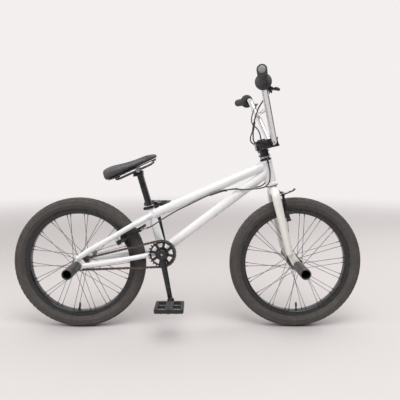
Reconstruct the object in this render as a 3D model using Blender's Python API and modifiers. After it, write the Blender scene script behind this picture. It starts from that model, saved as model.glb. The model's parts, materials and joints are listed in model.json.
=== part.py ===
"""A 20-inch freestyle bicycle with a cable rotor, linear-pull brakes and four axle pegs.

Lengths are in millimetres and are turned into metres as each piece is made. The ground
is Z = 0 under the middle of the wheelbase, +X points forward, +Y to the rider's left.
"""

import math

import bmesh
import bpy
from mathutils import Matrix, Vector

MM = 0.001
GAP = 0.3

# Wheels
WHEELBASE = 830.0
TYRE_DIAMETER = 506.0
TYRE_WIDTH = 50.0
BEAD_RADIUS = 203.9
RIM_FLANGE_RADIUS = 209.5
RIM_INNER_RADIUS = 191.5
RIM_HALF_WIDTH = 17.0
RIM_WALL = 2.5
WHEEL_SIDES = 32
SPOKES_PER_SIDE = 18
SPOKE_RADIUS = 1.0
HUB_SIDES = 10
HUB_FLANGE_Y = 31.5
HUB_FLANGE_RADIUS = 24.0
HUB_WAIST_RADIUS = 14.0
HUB_HALF_WIDTH = 55.0
DRIVER_HALF_GAP = 38.0
AXLE_RADIUS = 5.0
VALVE_LENGTH = 32.0
VALVE_RADIUS = 3.0

# Frame angles and lengths
HEAD_ANGLE = math.radians(76.0)
SEAT_ANGLE = math.radians(74.0)
HEAD_TUBE_FOOT_X = 320.6
HEAD_TUBE_FOOT_Z = 552.5
HEAD_TUBE_LENGTH = 97.0
HEAD_TUBE_RADIUS = 21.0
HEAD_TUBE_FLARE = 23.5
HEAD_TUBE_BORE = 17.0
BRACKET_X = -95.7
BRACKET_Z = 297.0
BRACKET_RADIUS = 22.0
BRACKET_BORE = 18.5
BRACKET_HALF_WIDTH = 34.0
SEAT_TUBE_LENGTH = 185.0
SEAT_TUBE_RADIUS = 16.0
TOP_TUBE_RADIUS = 17.5
TOP_TUBE_HEAD_S = 80.0
TOP_TUBE_SEAT_T = 147.0
DOWN_TUBE_RADIUS = 18.0
DOWN_TUBE_HEAD_S = 53.7
CHAIN_STAY_RADIUS = 9.5
SEAT_STAY_RADIUS = 10.0
DROPOUT_THICKNESS = 5.5
DROPOUT_RADIUS = 17.0

# Fork and steering column
COLUMN_SIDES = 16
STEERER_RADIUS = 14.3
STEERER_BORE = 11.5
CROWN_DROP = 3.4
FORK_LEG_TOP_RADIUS = 16.0
FORK_LEG_FOOT_RADIUS = 13.2
CUP_HEIGHT = 3.9

# Stem and handlebar
STEM_BASE_S = 138.8
STEM_HEIGHT = 35.0
STEM_REACH = 38.0
STEM_HALF_WIDTH = 22.5
STEM_CLAMP_HALF_WIDTH = 26.0
BAR_RADIUS = 11.1
BAR_BORE = BAR_RADIUS + GAP
BAR_KNEE_Y = 44.0
BAR_SHOULDER = (257.0, 175.0, 893.0)
BAR_END = (223.0, 351.0, 907.0)
CROSSBAR_RADIUS = 8.5
CROSSBAR_SHARE = 0.62
GRIP_SIDES = 12
GRIP_LENGTH = 138.0
GRIP_RADIUS = 15.5
GRIP_FLANGE_RADIUS = 27.0
TOP_CAP_RADIUS = 17.0
TOP_CAP_HEIGHT = 4.5

# Cable rotor on the steering column
ROTOR_SIDES = 12
PLATE_THICKNESS = 3.0
RACE_HEIGHT = 6.6
RACE_RADIUS = 20.5
COLLAR_RADIUS = 16.5
LOWER_RACE_S = 106.6
UPPER_PLATE_S = 131.0
UPPER_TAB_F = -15.0
UPPER_TAB_Y = 30.5
LOWER_TAB_F = 2.0
LOWER_TAB_Y = 28.0
PIN_RADIUS = 1.0
FERRULE_RADIUS = 3.3
FERRULE_BORE = 1.5
ROTOR_TRAVEL = 8.0

# Seat
POST_RADIUS = 12.7
POST_LENGTH = 236.0
CRADLE_HEIGHT = 14.0
SADDLE_CLAMP_SHARE = 0.60
SADDLE_REAR = (-324.0, 0.0, 611.0)
SADDLE_NOSE = (-112.0, 0.0, 677.0)
SADDLE_DEPTH_REAR = 45.0
SADDLE_DEPTH_NOSE = 17.0
SADDLE_HALF_WIDTH = 64.0
RAIL_RADIUS = 3.5
RAIL_HALF_SPREAD = 22.0
RAIL_DROP = 7.0
SADDLE_BASE_THICKNESS = 2.6
RAIL_SOCKET = 3.0
DRUM_RADIUS = 9.0

# Drive
CHAIN_PITCH = 12.7
RING_TEETH = 25
COG_TEETH = 9
CHAIN_LINE = -45.0
ROLLER_RADIUS = 3.9
CHAIN_HALF_WIDTH = 4.5
CHAIN_PLATE = 1.8
SPROCKET_THICKNESS = 3.0
CRANK_LENGTH = 175.0
CRANK_LEAN = math.radians(11.0)
CRANK_ROOT_Y = 59.0
CRANK_TIP_Y = 74.0
CRANK_WIDTH = 26.0
CRANK_DEPTH = 13.0
SPINDLE_RADIUS = 11.0
PEDAL_AXLE_RADIUS = 6.0
PEDAL_LENGTH = 104.0
PEDAL_WIDTH = 94.0
PEDAL_HEIGHT = 17.0
PEDAL_CENTRE_Y = 140.0

# Pegs
PEG_RADIUS = 19.0
PEG_BORE = 15.0
PEG_LENGTH = 110.0
PEG_BASE = 12.0

# Brakes
BRAKE_PIVOT_RADIUS = 178.0
REAR_STAY_ANGLE = math.radians(30.0)
REAR_PIVOT_ANGLE = math.radians(29.0)
FRONT_PIVOT_S = -135.4
BRAKE_OFFSET = 26.0
BRAKE_ARM_LENGTH = 102.0
BRAKE_ARM_Y = 40.0
BRAKE_ARM_RADIUS = 6.4
BOSS_RADIUS = 7.5
BOSS_PIN_RADIUS = 4.0
BARREL_HALF = 8.2
PAD_RISE = 20.0
PAD_CLEARANCE = 2.0
PAD_LENGTH = 52.0
PAD_HEIGHT = 10.5
PAD_THICKNESS = 8.0
PAD_POST_RADIUS = 3.0
PAD_SEAT = 6.2

# Levers and cables
LEVER_FROM_SHOULDER = 25.5
LEVER_PIVOT_W = 31.5
CABLE_RADIUS = 2.5
SLEEVE_RADIUS = 4.4
HOUSING_GAP = 1.3

# Places and directions that follow from the sizes above
UP = Vector((0, 0, 1))
LEFT = Vector((0, 1, 0))
AXLE_Z = TYRE_DIAMETER / 2
REAR_AXLE = Vector((-WHEELBASE / 2, 0, AXLE_Z))
FRONT_AXLE = Vector((WHEELBASE / 2, 0, AXLE_Z))
BRACKET = Vector((BRACKET_X, 0, BRACKET_Z))
HEAD_FOOT = Vector((HEAD_TUBE_FOOT_X, 0, HEAD_TUBE_FOOT_Z))
COLUMN = Vector((-math.cos(HEAD_ANGLE), 0, math.sin(HEAD_ANGLE)))
COLUMN_FRONT = Vector((math.sin(HEAD_ANGLE), 0, math.cos(HEAD_ANGLE)))
SEAT_LINE = Vector((-math.cos(SEAT_ANGLE), 0, math.sin(SEAT_ANGLE)))
SEAT_FRONT = Vector((math.sin(SEAT_ANGLE), 0, math.cos(SEAT_ANGLE)))


def steer_point(s, f=0.0, y=0.0):
    """A point s up the steering column from the head tube's foot, f in front of it."""
    return HEAD_FOOT + COLUMN * s + COLUMN_FRONT * f + LEFT * y


def seat_point(t, f=0.0, y=0.0):
    """A point t up the seat tube from the bottom bracket, f in front of it."""
    return BRACKET + SEAT_LINE * t + SEAT_FRONT * f + LEFT * y


# Scene
for leftover in list(bpy.data.objects):
    bpy.data.objects.remove(leftover, do_unlink=True)
bpy.context.scene.unit_settings.scale_length = 1.0
bicycle = bpy.data.collections.new("freestyle_bicycle")
workshop = bpy.data.collections.new("workshop")
bpy.context.scene.collection.children.link(bicycle)
bpy.context.scene.collection.children.link(workshop)


def material(name, colour, roughness, metallic=0.0, coat=0.0):
    made = bpy.data.materials.new(name)
    made.use_nodes = True
    shader = made.node_tree.nodes["Principled BSDF"]
    shader.inputs["Base Color"].default_value = (*colour, 1.0)
    shader.inputs["Roughness"].default_value = roughness
    shader.inputs["Metallic"].default_value = metallic
    shader.inputs["Coat Weight"].default_value = coat
    return made


WHITE = ((0.86, 0.87, 0.88), 0.25, 0.0, 0.6)
CREAM = ((0.85, 0.84, 0.80), 0.25, 0.0, 0.6)
CHROME = ((0.78, 0.79, 0.81), 0.10, 1.0)
BLACK_METAL = ((0.022, 0.022, 0.024), 0.38, 0.6)
BLACK_PLASTIC = ((0.030, 0.030, 0.032), 0.50)
STEEL = ((0.45, 0.46, 0.48), 0.32, 1.0)
DARK_STEEL = ((0.10, 0.095, 0.09), 0.40, 1.0)
RUBBER = ((0.035, 0.034, 0.034), 0.80)
TYRE_RUBBER = ((0.055, 0.048, 0.045), 0.85)
VINYL = ((0.070, 0.070, 0.072), 0.55)


# Shape tools: each takes millimetres and gives a mesh object in the workshop
def in_workshop(name, data):
    made = bpy.data.objects.new(name, data)
    workshop.objects.link(made)
    return made


def placing(at, along, side=None):
    """A matrix whose Z runs along a direction, with X as near as can be to side."""
    z = Vector(along).normalized()
    near = Vector(side) if side is not None else (LEFT if abs(z.y) < 0.9 else UP)
    x = (near - z * near.dot(z)).normalized()
    y = z.cross(x)
    turn = Matrix((x, y, z)).transposed().to_4x4()
    return Matrix.Translation(Vector(at) * MM) @ turn


def from_bmesh(bm, matrix=None, weld=True):
    if weld:
        bmesh.ops.remove_doubles(bm, verts=bm.verts, dist=1e-6)
    if matrix is not None:
        bmesh.ops.transform(bm, matrix=matrix, verts=bm.verts)
    bmesh.ops.recalc_face_normals(bm, faces=bm.faces)
    mesh = bpy.data.meshes.new("piece")
    bm.to_mesh(mesh)
    bm.free()
    return in_workshop("piece", mesh)


def evaluated_mesh(obj):
    bpy.context.view_layer.update()
    graph = bpy.context.evaluated_depsgraph_get()
    return bpy.data.meshes.new_from_object(obj.evaluated_get(graph))


def as_mesh(obj, weld=True):
    """The evaluated shape of a curve or a modified object as a plain mesh."""
    mesh = evaluated_mesh(obj)
    bm = bmesh.new()
    bm.from_mesh(mesh)
    matrix = obj.matrix_world.copy()
    bpy.data.objects.remove(obj)
    return from_bmesh(bm, matrix, weld)


def rod(start, end, radius, end_radius=None, sides=16, turn=0.0):
    """A round bar or cone between two points."""
    start, end = Vector(start), Vector(end)
    if end_radius is None:
        end_radius = radius
    bm = bmesh.new()
    bmesh.ops.create_cone(
        bm, cap_ends=True, segments=sides, radius1=radius * MM,
        radius2=end_radius * MM, depth=(end - start).length * MM)
    matrix = placing((start + end) / 2, end - start) @ Matrix.Rotation(turn, 4, "Z")
    return from_bmesh(bm, matrix)


def block(centre, size, along=UP, side=None, rounding=0.0):
    """A box: size is (along side, across, along), with rounded edges if asked for."""
    bm = bmesh.new()
    bmesh.ops.create_cube(bm, size=1.0)
    bmesh.ops.scale(bm, vec=Vector(size) * MM, verts=bm.verts)
    if rounding:
        bmesh.ops.bevel(
            bm, geom=bm.edges[:], offset=rounding * MM, segments=1, profile=0.5,
            affect="EDGES", material=-1)
    return from_bmesh(bm, placing(centre, along, side))


def turned(profile, at, along, sides=24, turn=0.0, closed=False):
    """A Screw of a profile of (radius, height), given from the top down its outside."""
    bm = bmesh.new()
    points = [bm.verts.new((r * MM, 0, h * MM)) for r, h in profile]
    ends = list(zip(points, points[1:]))
    if closed:
        ends.append((points[-1], points[0]))
    for first, second in ends:
        bm.edges.new((first, second))
    mesh = bpy.data.meshes.new("profile")
    bm.to_mesh(mesh)
    bm.free()
    made = in_workshop("turned", mesh)
    screw = made.modifiers.new("Screw", "SCREW")
    screw.steps = sides
    screw.render_steps = sides
    screw.use_merge_vertices = True
    screw.merge_threshold = 0.00001
    made.matrix_world = placing(at, along) @ Matrix.Rotation(turn, 4, "Z")
    return as_mesh(made)


def sleeve(start, end, radius, bore, sides=20, turn=0.0):
    """A tube with an open bore."""
    start, end = Vector(start), Vector(end)
    length = (end - start).length
    profile = [(bore, length), (radius, length), (radius, 0), (bore, 0)]
    return turned(profile, start, end - start, sides, turn, closed=True)


def curved(points, radii, resolution=2, cyclic=False):
    """A tube along a list of points, with one radius or one for each point."""
    if not isinstance(radii, (list, tuple)):
        radii = [radii] * len(points)
    curve = bpy.data.curves.new("tube", "CURVE")
    curve.dimensions = "3D"
    curve.bevel_depth = MM
    curve.bevel_resolution = resolution
    curve.use_fill_caps = True
    spline = curve.splines.new("POLY")
    spline.points.add(len(points) - 1)
    for node, point, radius in zip(spline.points, points, radii):
        node.co = (*(Vector(point) * MM), 1.0)
        node.radius = radius
    spline.use_cyclic_u = cyclic
    return as_mesh(in_workshop("tube", curve))


def plate(outlines, thickness, at, along, side=None):
    """A flat plate from outlines of (x, y), the first outside and the rest its holes."""
    curve = bpy.data.curves.new("plate", "CURVE")
    curve.dimensions = "2D"
    curve.fill_mode = "BOTH"
    curve.extrude = thickness / 2 * MM
    for outline in outlines:
        spline = curve.splines.new("POLY")
        spline.points.add(len(outline) - 1)
        for node, (x, y) in zip(spline.points, outline):
            node.co = (x * MM, y * MM, 0.0, 1.0)
        spline.use_cyclic_u = True
    made = in_workshop("plate", curve)
    made.matrix_world = placing(at, along, side)
    return as_mesh(made)


def smooth_route(points, spacing):
    """Points at about even spacing on a smooth curve through the chosen points."""
    knots = [Vector(p) for p in points]
    knots = [2 * knots[0] - knots[1]] + knots + [2 * knots[-1] - knots[-2]]
    fine = []
    for a, b, c, d in zip(knots, knots[1:], knots[2:], knots[3:]):
        steps = max(2, round((c - b).length / 2))
        for i in range(steps):
            t = i / steps
            fine.append(
                0.5 * (2 * b + (c - a) * t + (2 * a - 5 * b + 4 * c - d) * t ** 2
                       + (3 * b - a - 3 * c + d) * t ** 3))
    fine.append(knots[-2])
    total = sum((q - p).length for p, q in zip(fine, fine[1:]))
    count = max(2, round(total / spacing))
    kept = [fine[0]]
    gone = 0.0
    for p, q in zip(fine, fine[1:]):
        gone += (q - p).length
        if gone >= len(kept) * total / count and len(kept) < count:
            kept.append(q)
    return kept + [fine[-1]]


def rounded_route(points, radii, steps=3):
    """A path of straight runs with an arc of the given radius at each inner corner."""
    path = [Vector(points[0])]
    for before, corner, after, radius in zip(points, points[1:], points[2:], radii):
        before, corner, after = Vector(before), Vector(corner), Vector(after)
        a = (before - corner).normalized()
        b = (after - corner).normalized()
        half = a.angle(b) / 2
        reach = radius / math.tan(half)
        centre = corner + (a + b).normalized() * radius / math.sin(half)
        first = corner + a * reach - centre
        last = corner + b * reach - centre
        for i in range(steps + 1):
            path.append(centre + arc_between(first, last, i / steps))
    path.append(Vector(points[-1]))
    return path


def arc_between(first, last, share):
    """The radius vector at a share of the way round from first to last."""
    angle = first.angle(last)
    a = math.sin((1 - share) * angle) / math.sin(angle)
    b = math.sin(share * angle) / math.sin(angle)
    return first * a + last * b


def circle(radius, sides, centre=(0.0, 0.0), turn=0.0):
    return [(centre[0] + radius * math.cos(turn + 2 * math.pi * i / sides),
             centre[1] + radius * math.sin(turn + 2 * math.pi * i / sides))
            for i in range(sides)]


def around(radius, sides, clearance=GAP):
    """The corner radius of a faceted bore whose flats clear a round shaft."""
    return (radius + clearance) / math.cos(math.pi / sides)


def wrapped(discs, sides=12):
    """The outline of a belt pulled round discs of (x, y, radius), as a convex hull."""
    points = sorted(
        (round(x + r * math.cos(2 * math.pi * i / sides), 6),
         round(y + r * math.sin(2 * math.pi * i / sides), 6))
        for x, y, r in discs for i in range(sides))
    hull = []
    for run in (points, points[::-1]):
        base = len(hull)
        for x, y in run:
            while len(hull) > base + 1:
                (ax, ay), (bx, by) = hull[-2], hull[-1]
                if (bx - ax) * (y - ay) - (by - ay) * (x - ax) > 1e-6:
                    break
                hull.pop()
            hull.append((x, y))
        hull.pop()
    return hull


def loft(sections, subdivide=0):
    """A closed skin over rings of points, each ring a list in the same order."""
    bm = bmesh.new()
    rings = [[bm.verts.new(Vector(p) * MM) for p in ring] for ring in sections]
    count = len(rings[0])
    for first, second in zip(rings, rings[1:]):
        for i in range(count):
            j = (i + 1) % count
            bm.faces.new((first[i], first[j], second[j], second[i]))
    bm.faces.new(rings[0])
    bm.faces.new(rings[-1])
    made = from_bmesh(bm)
    if subdivide:
        smooth = made.modifiers.new("Subdivision", "SUBSURF")
        smooth.levels = subdivide
        smooth.render_levels = subdivide
        made = as_mesh(made)
    return made


def is_closed(mesh):
    """Whether every edge has two faces."""
    bm = bmesh.new()
    bm.from_mesh(mesh)
    closed = all(len(edge.link_faces) == 2 for edge in bm.edges)
    bm.free()
    return closed


def combine(base, others, operation):
    """One Boolean after another, by the manifold solver where the exact one tears."""
    for other in others:
        step = base.modifiers.new("Boolean", "BOOLEAN")
        step.operation = operation
        step.solver = "EXACT"
        step.object = other
    if not is_closed(evaluated_mesh(base)):
        for step in base.modifiers:
            step.solver = "MANIFOLD"
    made = as_mesh(base, weld=False)
    for other in others:
        bpy.data.objects.remove(other)
    return made


def joined(pieces):
    return combine(pieces[0], pieces[1:], "UNION")


def cut(base, cutters):
    return combine(base, cutters, "DIFFERENCE")


def pivot_empty(name, at, parent=None):
    """An empty on a joint's axis, that carries the pieces which move with it."""
    made = bpy.data.objects.new(name, None)
    made.empty_display_size = 0.05
    bicycle.objects.link(made)
    made.location = Vector(at) * MM
    if parent is not None:
        made.parent = parent
        made.location = Vector(at) * MM - parent.matrix_world.translation
    bpy.context.view_layer.update()
    return made


def finished(piece, name, look, carrier, edge=35.0):
    """Names a piece, gives it its material and hangs it from its carrier's axis."""
    colour, roughness, *rest = look
    piece.name = name
    piece.data.name = name
    piece.data.materials.clear()
    piece.data.materials.append(material(name, colour, roughness, *rest))
    piece.data.shade_smooth()
    piece.data.set_sharp_from_angle(angle=math.radians(edge))
    origin = carrier.matrix_world.translation
    piece.data.transform(Matrix.Translation(-origin))
    piece.parent = carrier
    workshop.objects.unlink(piece)
    bicycle.objects.link(piece)
    return piece


# Carriers, one for each thing that moves
frame_carrier = pivot_empty("frame_carrier", (0, 0, 0))
steering = pivot_empty("steering_axis", HEAD_FOOT, frame_carrier)
rear_wheel = pivot_empty("rear_wheel_axis", REAR_AXLE, frame_carrier)
front_wheel = pivot_empty("front_wheel_axis", FRONT_AXLE, steering)
driver_axis = pivot_empty("driver_axis", REAR_AXLE, frame_carrier)
crank_axis = pivot_empty("crank_axis", BRACKET, frame_carrier)


# Wheels
def spun_on_axle(profile, axle, sides, turn=0.0):
    """A profile of (radius, y) turned about an axle that runs along Y."""
    return turned(profile, axle, LEFT, sides, turn, closed=True)


def flat_side_down(radius):
    """The corner radius of a wheel whose facets just reach the true radius."""
    return radius / math.cos(math.pi / WHEEL_SIDES)


HALF_FACET = math.pi / WHEEL_SIDES


def tyre(name, axle, carrier):
    """A tyre whose beads sit inside the rim's flanges, with a flat crown."""
    outer = AXLE_Z
    half = TYRE_WIDTH / 2
    bead = RIM_HALF_WIDTH - RIM_WALL - GAP
    floor = BEAD_RADIUS + GAP
    lip = RIM_FLANGE_RADIUS + 2 * GAP
    side = [
        (outer, 0.42 * half), (outer - 9.0, 0.90 * half), (outer - 24.0, half),
        (lip, bead), (floor, bead)]
    profile = [(flat_side_down(r), y) for r, y in side]
    profile = [(r, -y) for r, y in reversed(profile)] + profile
    profile.reverse()
    made = spun_on_axle(profile, axle, WHEEL_SIDES, HALF_FACET)
    return finished(made, name, TYRE_RUBBER, carrier)


def rim(name, axle, carrier, valve_lean):
    """A box rim with a bead channel, and the valve through its inner wall."""
    half = RIM_HALF_WIDTH
    channel = half - RIM_WALL
    side = [
        (BEAD_RADIUS, channel - 0.3), (RIM_FLANGE_RADIUS, channel),
        (RIM_FLANGE_RADIUS, half), (RIM_INNER_RADIUS, 0.75 * half)]
    profile = [(flat_side_down(r), y) for r, y in side]
    profile = profile + [(r, -y) for r, y in reversed(profile)]
    made = spun_on_axle(profile, axle, WHEEL_SIDES, HALF_FACET)
    down = Vector((math.sin(valve_lean), 0, -math.cos(valve_lean)))
    root = RIM_INNER_RADIUS + 3.0
    stem = rod(axle + down * (root - VALVE_LENGTH), axle + down * root, VALVE_RADIUS,
               sides=6)
    return finished(joined([made, stem]), name, BLACK_METAL, carrier)


def hub_with_spokes(name, axle, carrier, right_end):
    """A flanged hub with its crossed spokes, every other one inside the flange."""
    bore = around(AXLE_RADIUS, HUB_SIDES)
    flange = HUB_FLANGE_Y
    profile = [
        (bore, HUB_HALF_WIDTH - GAP), (11.0, HUB_HALF_WIDTH - GAP), (12.5, flange + 4.0),
        (HUB_FLANGE_RADIUS, flange + 2.5), (HUB_FLANGE_RADIUS, flange - 2.5),
        (HUB_WAIST_RADIUS, flange - 7.0), (HUB_WAIST_RADIUS, 7.0 - flange),
        (HUB_FLANGE_RADIUS, 2.5 - flange), (HUB_FLANGE_RADIUS, -2.5 - flange),
        (12.5, -right_end), (bore, -right_end)]
    hub = spun_on_axle(profile, axle, HUB_SIDES)
    spokes = []
    reach = RIM_INNER_RADIUS - GAP
    root = HUB_FLANGE_RADIUS - 2.6
    step = 2 * math.pi / SPOKES_PER_SIDE
    cross = 3.0 * step
    for side in (-1, 1):
        for i in range(SPOKES_PER_SIDE):
            lead = 1 if i % 2 else -1
            at_hub = i * step + (0.25 if side > 0 else 0.0) * step
            at_rim = at_hub + lead * cross
            inner = Vector((root * math.cos(at_hub), 0, root * math.sin(at_hub)))
            outer = Vector((reach * math.cos(at_rim), 0, reach * math.sin(at_rim)))
            inner.y = side * (flange + 1.3 * lead)
            outer.y = side * 3.5
            spokes.append(rod(axle + inner, axle + outer, SPOKE_RADIUS, sides=3))
    return finished(joined([hub] + spokes), name, DARK_STEEL, carrier)


def axle_with_nuts(name, axle, carrier):
    """A solid axle with the nuts that hold the pegs on."""
    seat = HUB_HALF_WIDTH + GAP + DROPOUT_THICKNESS + GAP + PEG_BASE + GAP
    end = seat + 12.0
    pieces = [rod(axle - LEFT * end, axle + LEFT * end, AXLE_RADIUS, sides=8)]
    for side in (-1, 1):
        pieces.append(
            rod(axle + LEFT * side * seat, axle + LEFT * side * (seat + 8.0), 9.5,
                sides=6))
    return finished(joined(pieces), name, STEEL, carrier)


def peg(name, axle, carrier, side):
    """A hollow peg, open at its outer end, held by the axle nut on its base."""
    start = HUB_HALF_WIDTH + GAP + DROPOUT_THICKNESS + GAP
    hole = AXLE_RADIUS + GAP
    profile = [
        (PEG_BORE, PEG_LENGTH), (PEG_RADIUS, PEG_LENGTH), (PEG_RADIUS, 0.0),
        (hole, 0.0), (hole, PEG_BASE), (PEG_BORE, PEG_BASE)]
    made = turned(profile, axle + LEFT * side * start, LEFT * side, 12, closed=True)
    return finished(made, name, DARK_STEEL, carrier)


def build_wheels():
    tyre("rear_tyre", REAR_AXLE, rear_wheel)
    tyre("front_tyre", FRONT_AXLE, front_wheel)
    rim("rear_rim", REAR_AXLE, rear_wheel, math.radians(-3.1))
    rim("front_rim", FRONT_AXLE, front_wheel, math.radians(3.4))
    hub_with_spokes("rear_hub_and_spokes", REAR_AXLE, rear_wheel, DRIVER_HALF_GAP - GAP)
    hub_with_spokes("front_hub_and_spokes", FRONT_AXLE, front_wheel,
                    HUB_HALF_WIDTH - GAP)
    axle_with_nuts("rear_axle", REAR_AXLE, frame_carrier)
    axle_with_nuts("front_axle", FRONT_AXLE, steering)
    peg("rear_right_peg", REAR_AXLE, frame_carrier, -1)
    peg("rear_left_peg", REAR_AXLE, frame_carrier, 1)
    peg("front_right_peg", FRONT_AXLE, steering, -1)
    peg("front_left_peg", FRONT_AXLE, steering, 1)


# Brake geometry, shared by the frame, the fork, the arms and the pads
STAY_UP = Vector((math.cos(REAR_STAY_ANGLE), 0, math.sin(REAR_STAY_ANGLE)))
STAY_OUT = Vector((math.sin(REAR_STAY_ANGLE), 0, -math.cos(REAR_STAY_ANGLE)))
REAR_PIVOT = REAR_AXLE + BRAKE_PIVOT_RADIUS * Vector(
    (math.cos(REAR_PIVOT_ANGLE), 0, math.sin(REAR_PIVOT_ANGLE)))
FRONT_PIVOT = steer_point(FRONT_PIVOT_S, BRAKE_OFFSET)


def brake_boss(pivot, out, side):
    """The boss on a stay or leg, the pin that the arm turns on and its bolt head."""
    centre = pivot + LEFT * side * BRAKE_ARM_Y
    seat = centre - out * (BARREL_HALF + GAP)
    root = centre - out * BRAKE_OFFSET
    end = centre + out * (BARREL_HALF + GAP)
    return [
        rod(root, seat, BOSS_RADIUS, sides=8),
        rod(seat - out * 3.0, end + out * 1.0, BOSS_PIN_RADIUS, sides=6, turn=0.1),
        rod(end, end + out * 3.0, 6.5, sides=6)]


# Frame
def seat_stay_path(side):
    places = [(-409.6, 60.0, 283.0), (-363.0, 55.0, 313.6), (-299.8, 50.0, 349.1),
              (-214.9, 43.0, 399.1), (-172.6, 36.0, 420.5), (-147.0, 21.0, 435.0)]
    return [Vector((x, side * y, z)) for x, y, z in places]


def chain_stay_path(side):
    places = [(-104.0, 21.0, 296.0), (-128.0, 25.5, 292.0), (-150.0, 29.5, 288.5),
              (-178.0, 36.0, 284.0), (-215.0, 42.0, 278.0), (-300.0, 50.0, 265.0),
              (-392.0, 58.0, 254.0)]
    return [Vector((x, side * y, z)) for x, y, z in places]


def rear_dropout(side):
    """A plate that joins both stays and holds the axle in a slot open to the rear."""
    middle = side * (HUB_HALF_WIDTH + GAP + DROPOUT_THICKNESS / 2)
    at = REAR_AXLE + LEFT * middle
    shape = wrapped([(0.0, 0.0, DROPOUT_RADIUS), (28.0, 2.0, 10.0), (9.0, 30.0, 9.0)])
    return [plate([shape], DROPOUT_THICKNESS, at, -LEFT, (1, 0, 0))]


def build_frame():
    head_top = HEAD_TUBE_LENGTH
    flare = HEAD_TUBE_FLARE
    profile = [(0.0, head_top), (flare, head_top), (flare, head_top - 8.0),
               (HEAD_TUBE_RADIUS, head_top - 13.0), (HEAD_TUBE_RADIUS, 13.0),
               (flare, 8.0), (flare, 0.0), (0.0, 0.0)]
    pieces = [turned(profile, HEAD_FOOT, COLUMN, COLUMN_SIDES)]
    half = BRACKET_HALF_WIDTH
    pieces.append(rod(BRACKET - LEFT * half, BRACKET + LEFT * half, BRACKET_RADIUS,
                      sides=16))
    pieces.append(rod(seat_point(0), seat_point(SEAT_TUBE_LENGTH), SEAT_TUBE_RADIUS,
                      sides=14))
    pieces.append(rod(steer_point(TOP_TUBE_HEAD_S), seat_point(TOP_TUBE_SEAT_T),
                      TOP_TUBE_RADIUS, sides=14))
    pieces.append(rod(steer_point(DOWN_TUBE_HEAD_S), BRACKET + UP * 3.0,
                      DOWN_TUBE_RADIUS, sides=14))
    for side in (-1, 1):
        stay = smooth_route(chain_stay_path(side), 46.0)
        pieces.append(curved(stay, CHAIN_STAY_RADIUS))
        stay = smooth_route(seat_stay_path(side), 54.0)
        pieces.append(curved(stay, SEAT_STAY_RADIUS))
        pieces += rear_dropout(side)
        pieces += brake_boss(REAR_PIVOT, STAY_OUT, side)
    pieces.append(rod((-146.0, -28.0, 289.0), (-146.0, 28.0, 289.0), 6.0, sides=8))
    pieces.append(rod((-187.0, -38.0, 413.0), (-187.0, 38.0, 413.0), 5.0, sides=8))
    body = joined(pieces)
    over = 30.0
    slot = AXLE_RADIUS + GAP
    cutters = [
        rod(steer_point(-over), steer_point(head_top + over), HEAD_TUBE_BORE,
            sides=COLUMN_SIDES),
        rod(BRACKET - LEFT * (half + over), BRACKET + LEFT * (half + over), BRACKET_BORE,
            sides=16),
        rod(seat_point(0), seat_point(SEAT_TUBE_LENGTH + over), POST_RADIUS + GAP,
            sides=14)]
    for side in (-1, 1):
        outward = REAR_AXLE + LEFT * side * 58.0
        cutters.append(rod(outward - LEFT * 8.0, outward + LEFT * 8.0, slot, sides=8))
        cutters.append(block(outward - Vector((20.0, 0, 0)), (40.0, 16.0, 2 * slot),
                             side=(1, 0, 0)))
    return finished(cut(body, cutters), "frame", WHITE, frame_carrier)


def build_headset():
    """The two bearing cups that centre the steering column in the head tube."""
    bore = around(STEERER_RADIUS, COLUMN_SIDES)
    skirt = HEAD_TUBE_BORE - GAP
    lip = HEAD_TUBE_FLARE - 0.5
    top = HEAD_TUBE_LENGTH + GAP
    upper = [(bore, top + CUP_HEIGHT), (19.0, top + CUP_HEIGHT), (lip, top),
             (skirt, top), (skirt, top - 17.0), (bore, top - 17.0)]
    lower = [(bore, 17.0), (skirt, 17.0), (skirt, -GAP), (lip, -GAP),
             (lip, GAP - CROWN_DROP), (bore, GAP - CROWN_DROP)]
    made = turned(upper, HEAD_FOOT, COLUMN, COLUMN_SIDES, closed=True)
    finished(made, "upper_headset_cup", BLACK_METAL, frame_carrier)
    made = turned(lower, HEAD_FOOT, COLUMN, COLUMN_SIDES, closed=True)
    finished(made, "lower_headset_cup", BLACK_METAL, frame_carrier)


# Fork
def fork_leg_path(side):
    places = [(-18.0, 0.0, 4.0), (-19.0, 0.0, 18.0), (-22.5, 0.0, 31.0),
              (-31.0, 0.0, 42.0), (-46.0, -0.5, 48.5), (-66.0, -1.0, 50.5),
              (-110.0, -1.0, 52.0), (-180.0, -1.0, 55.0), (-262.0, -1.0, 58.0)]
    return [steer_point(s, f, side * y) for s, f, y in places]


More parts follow.
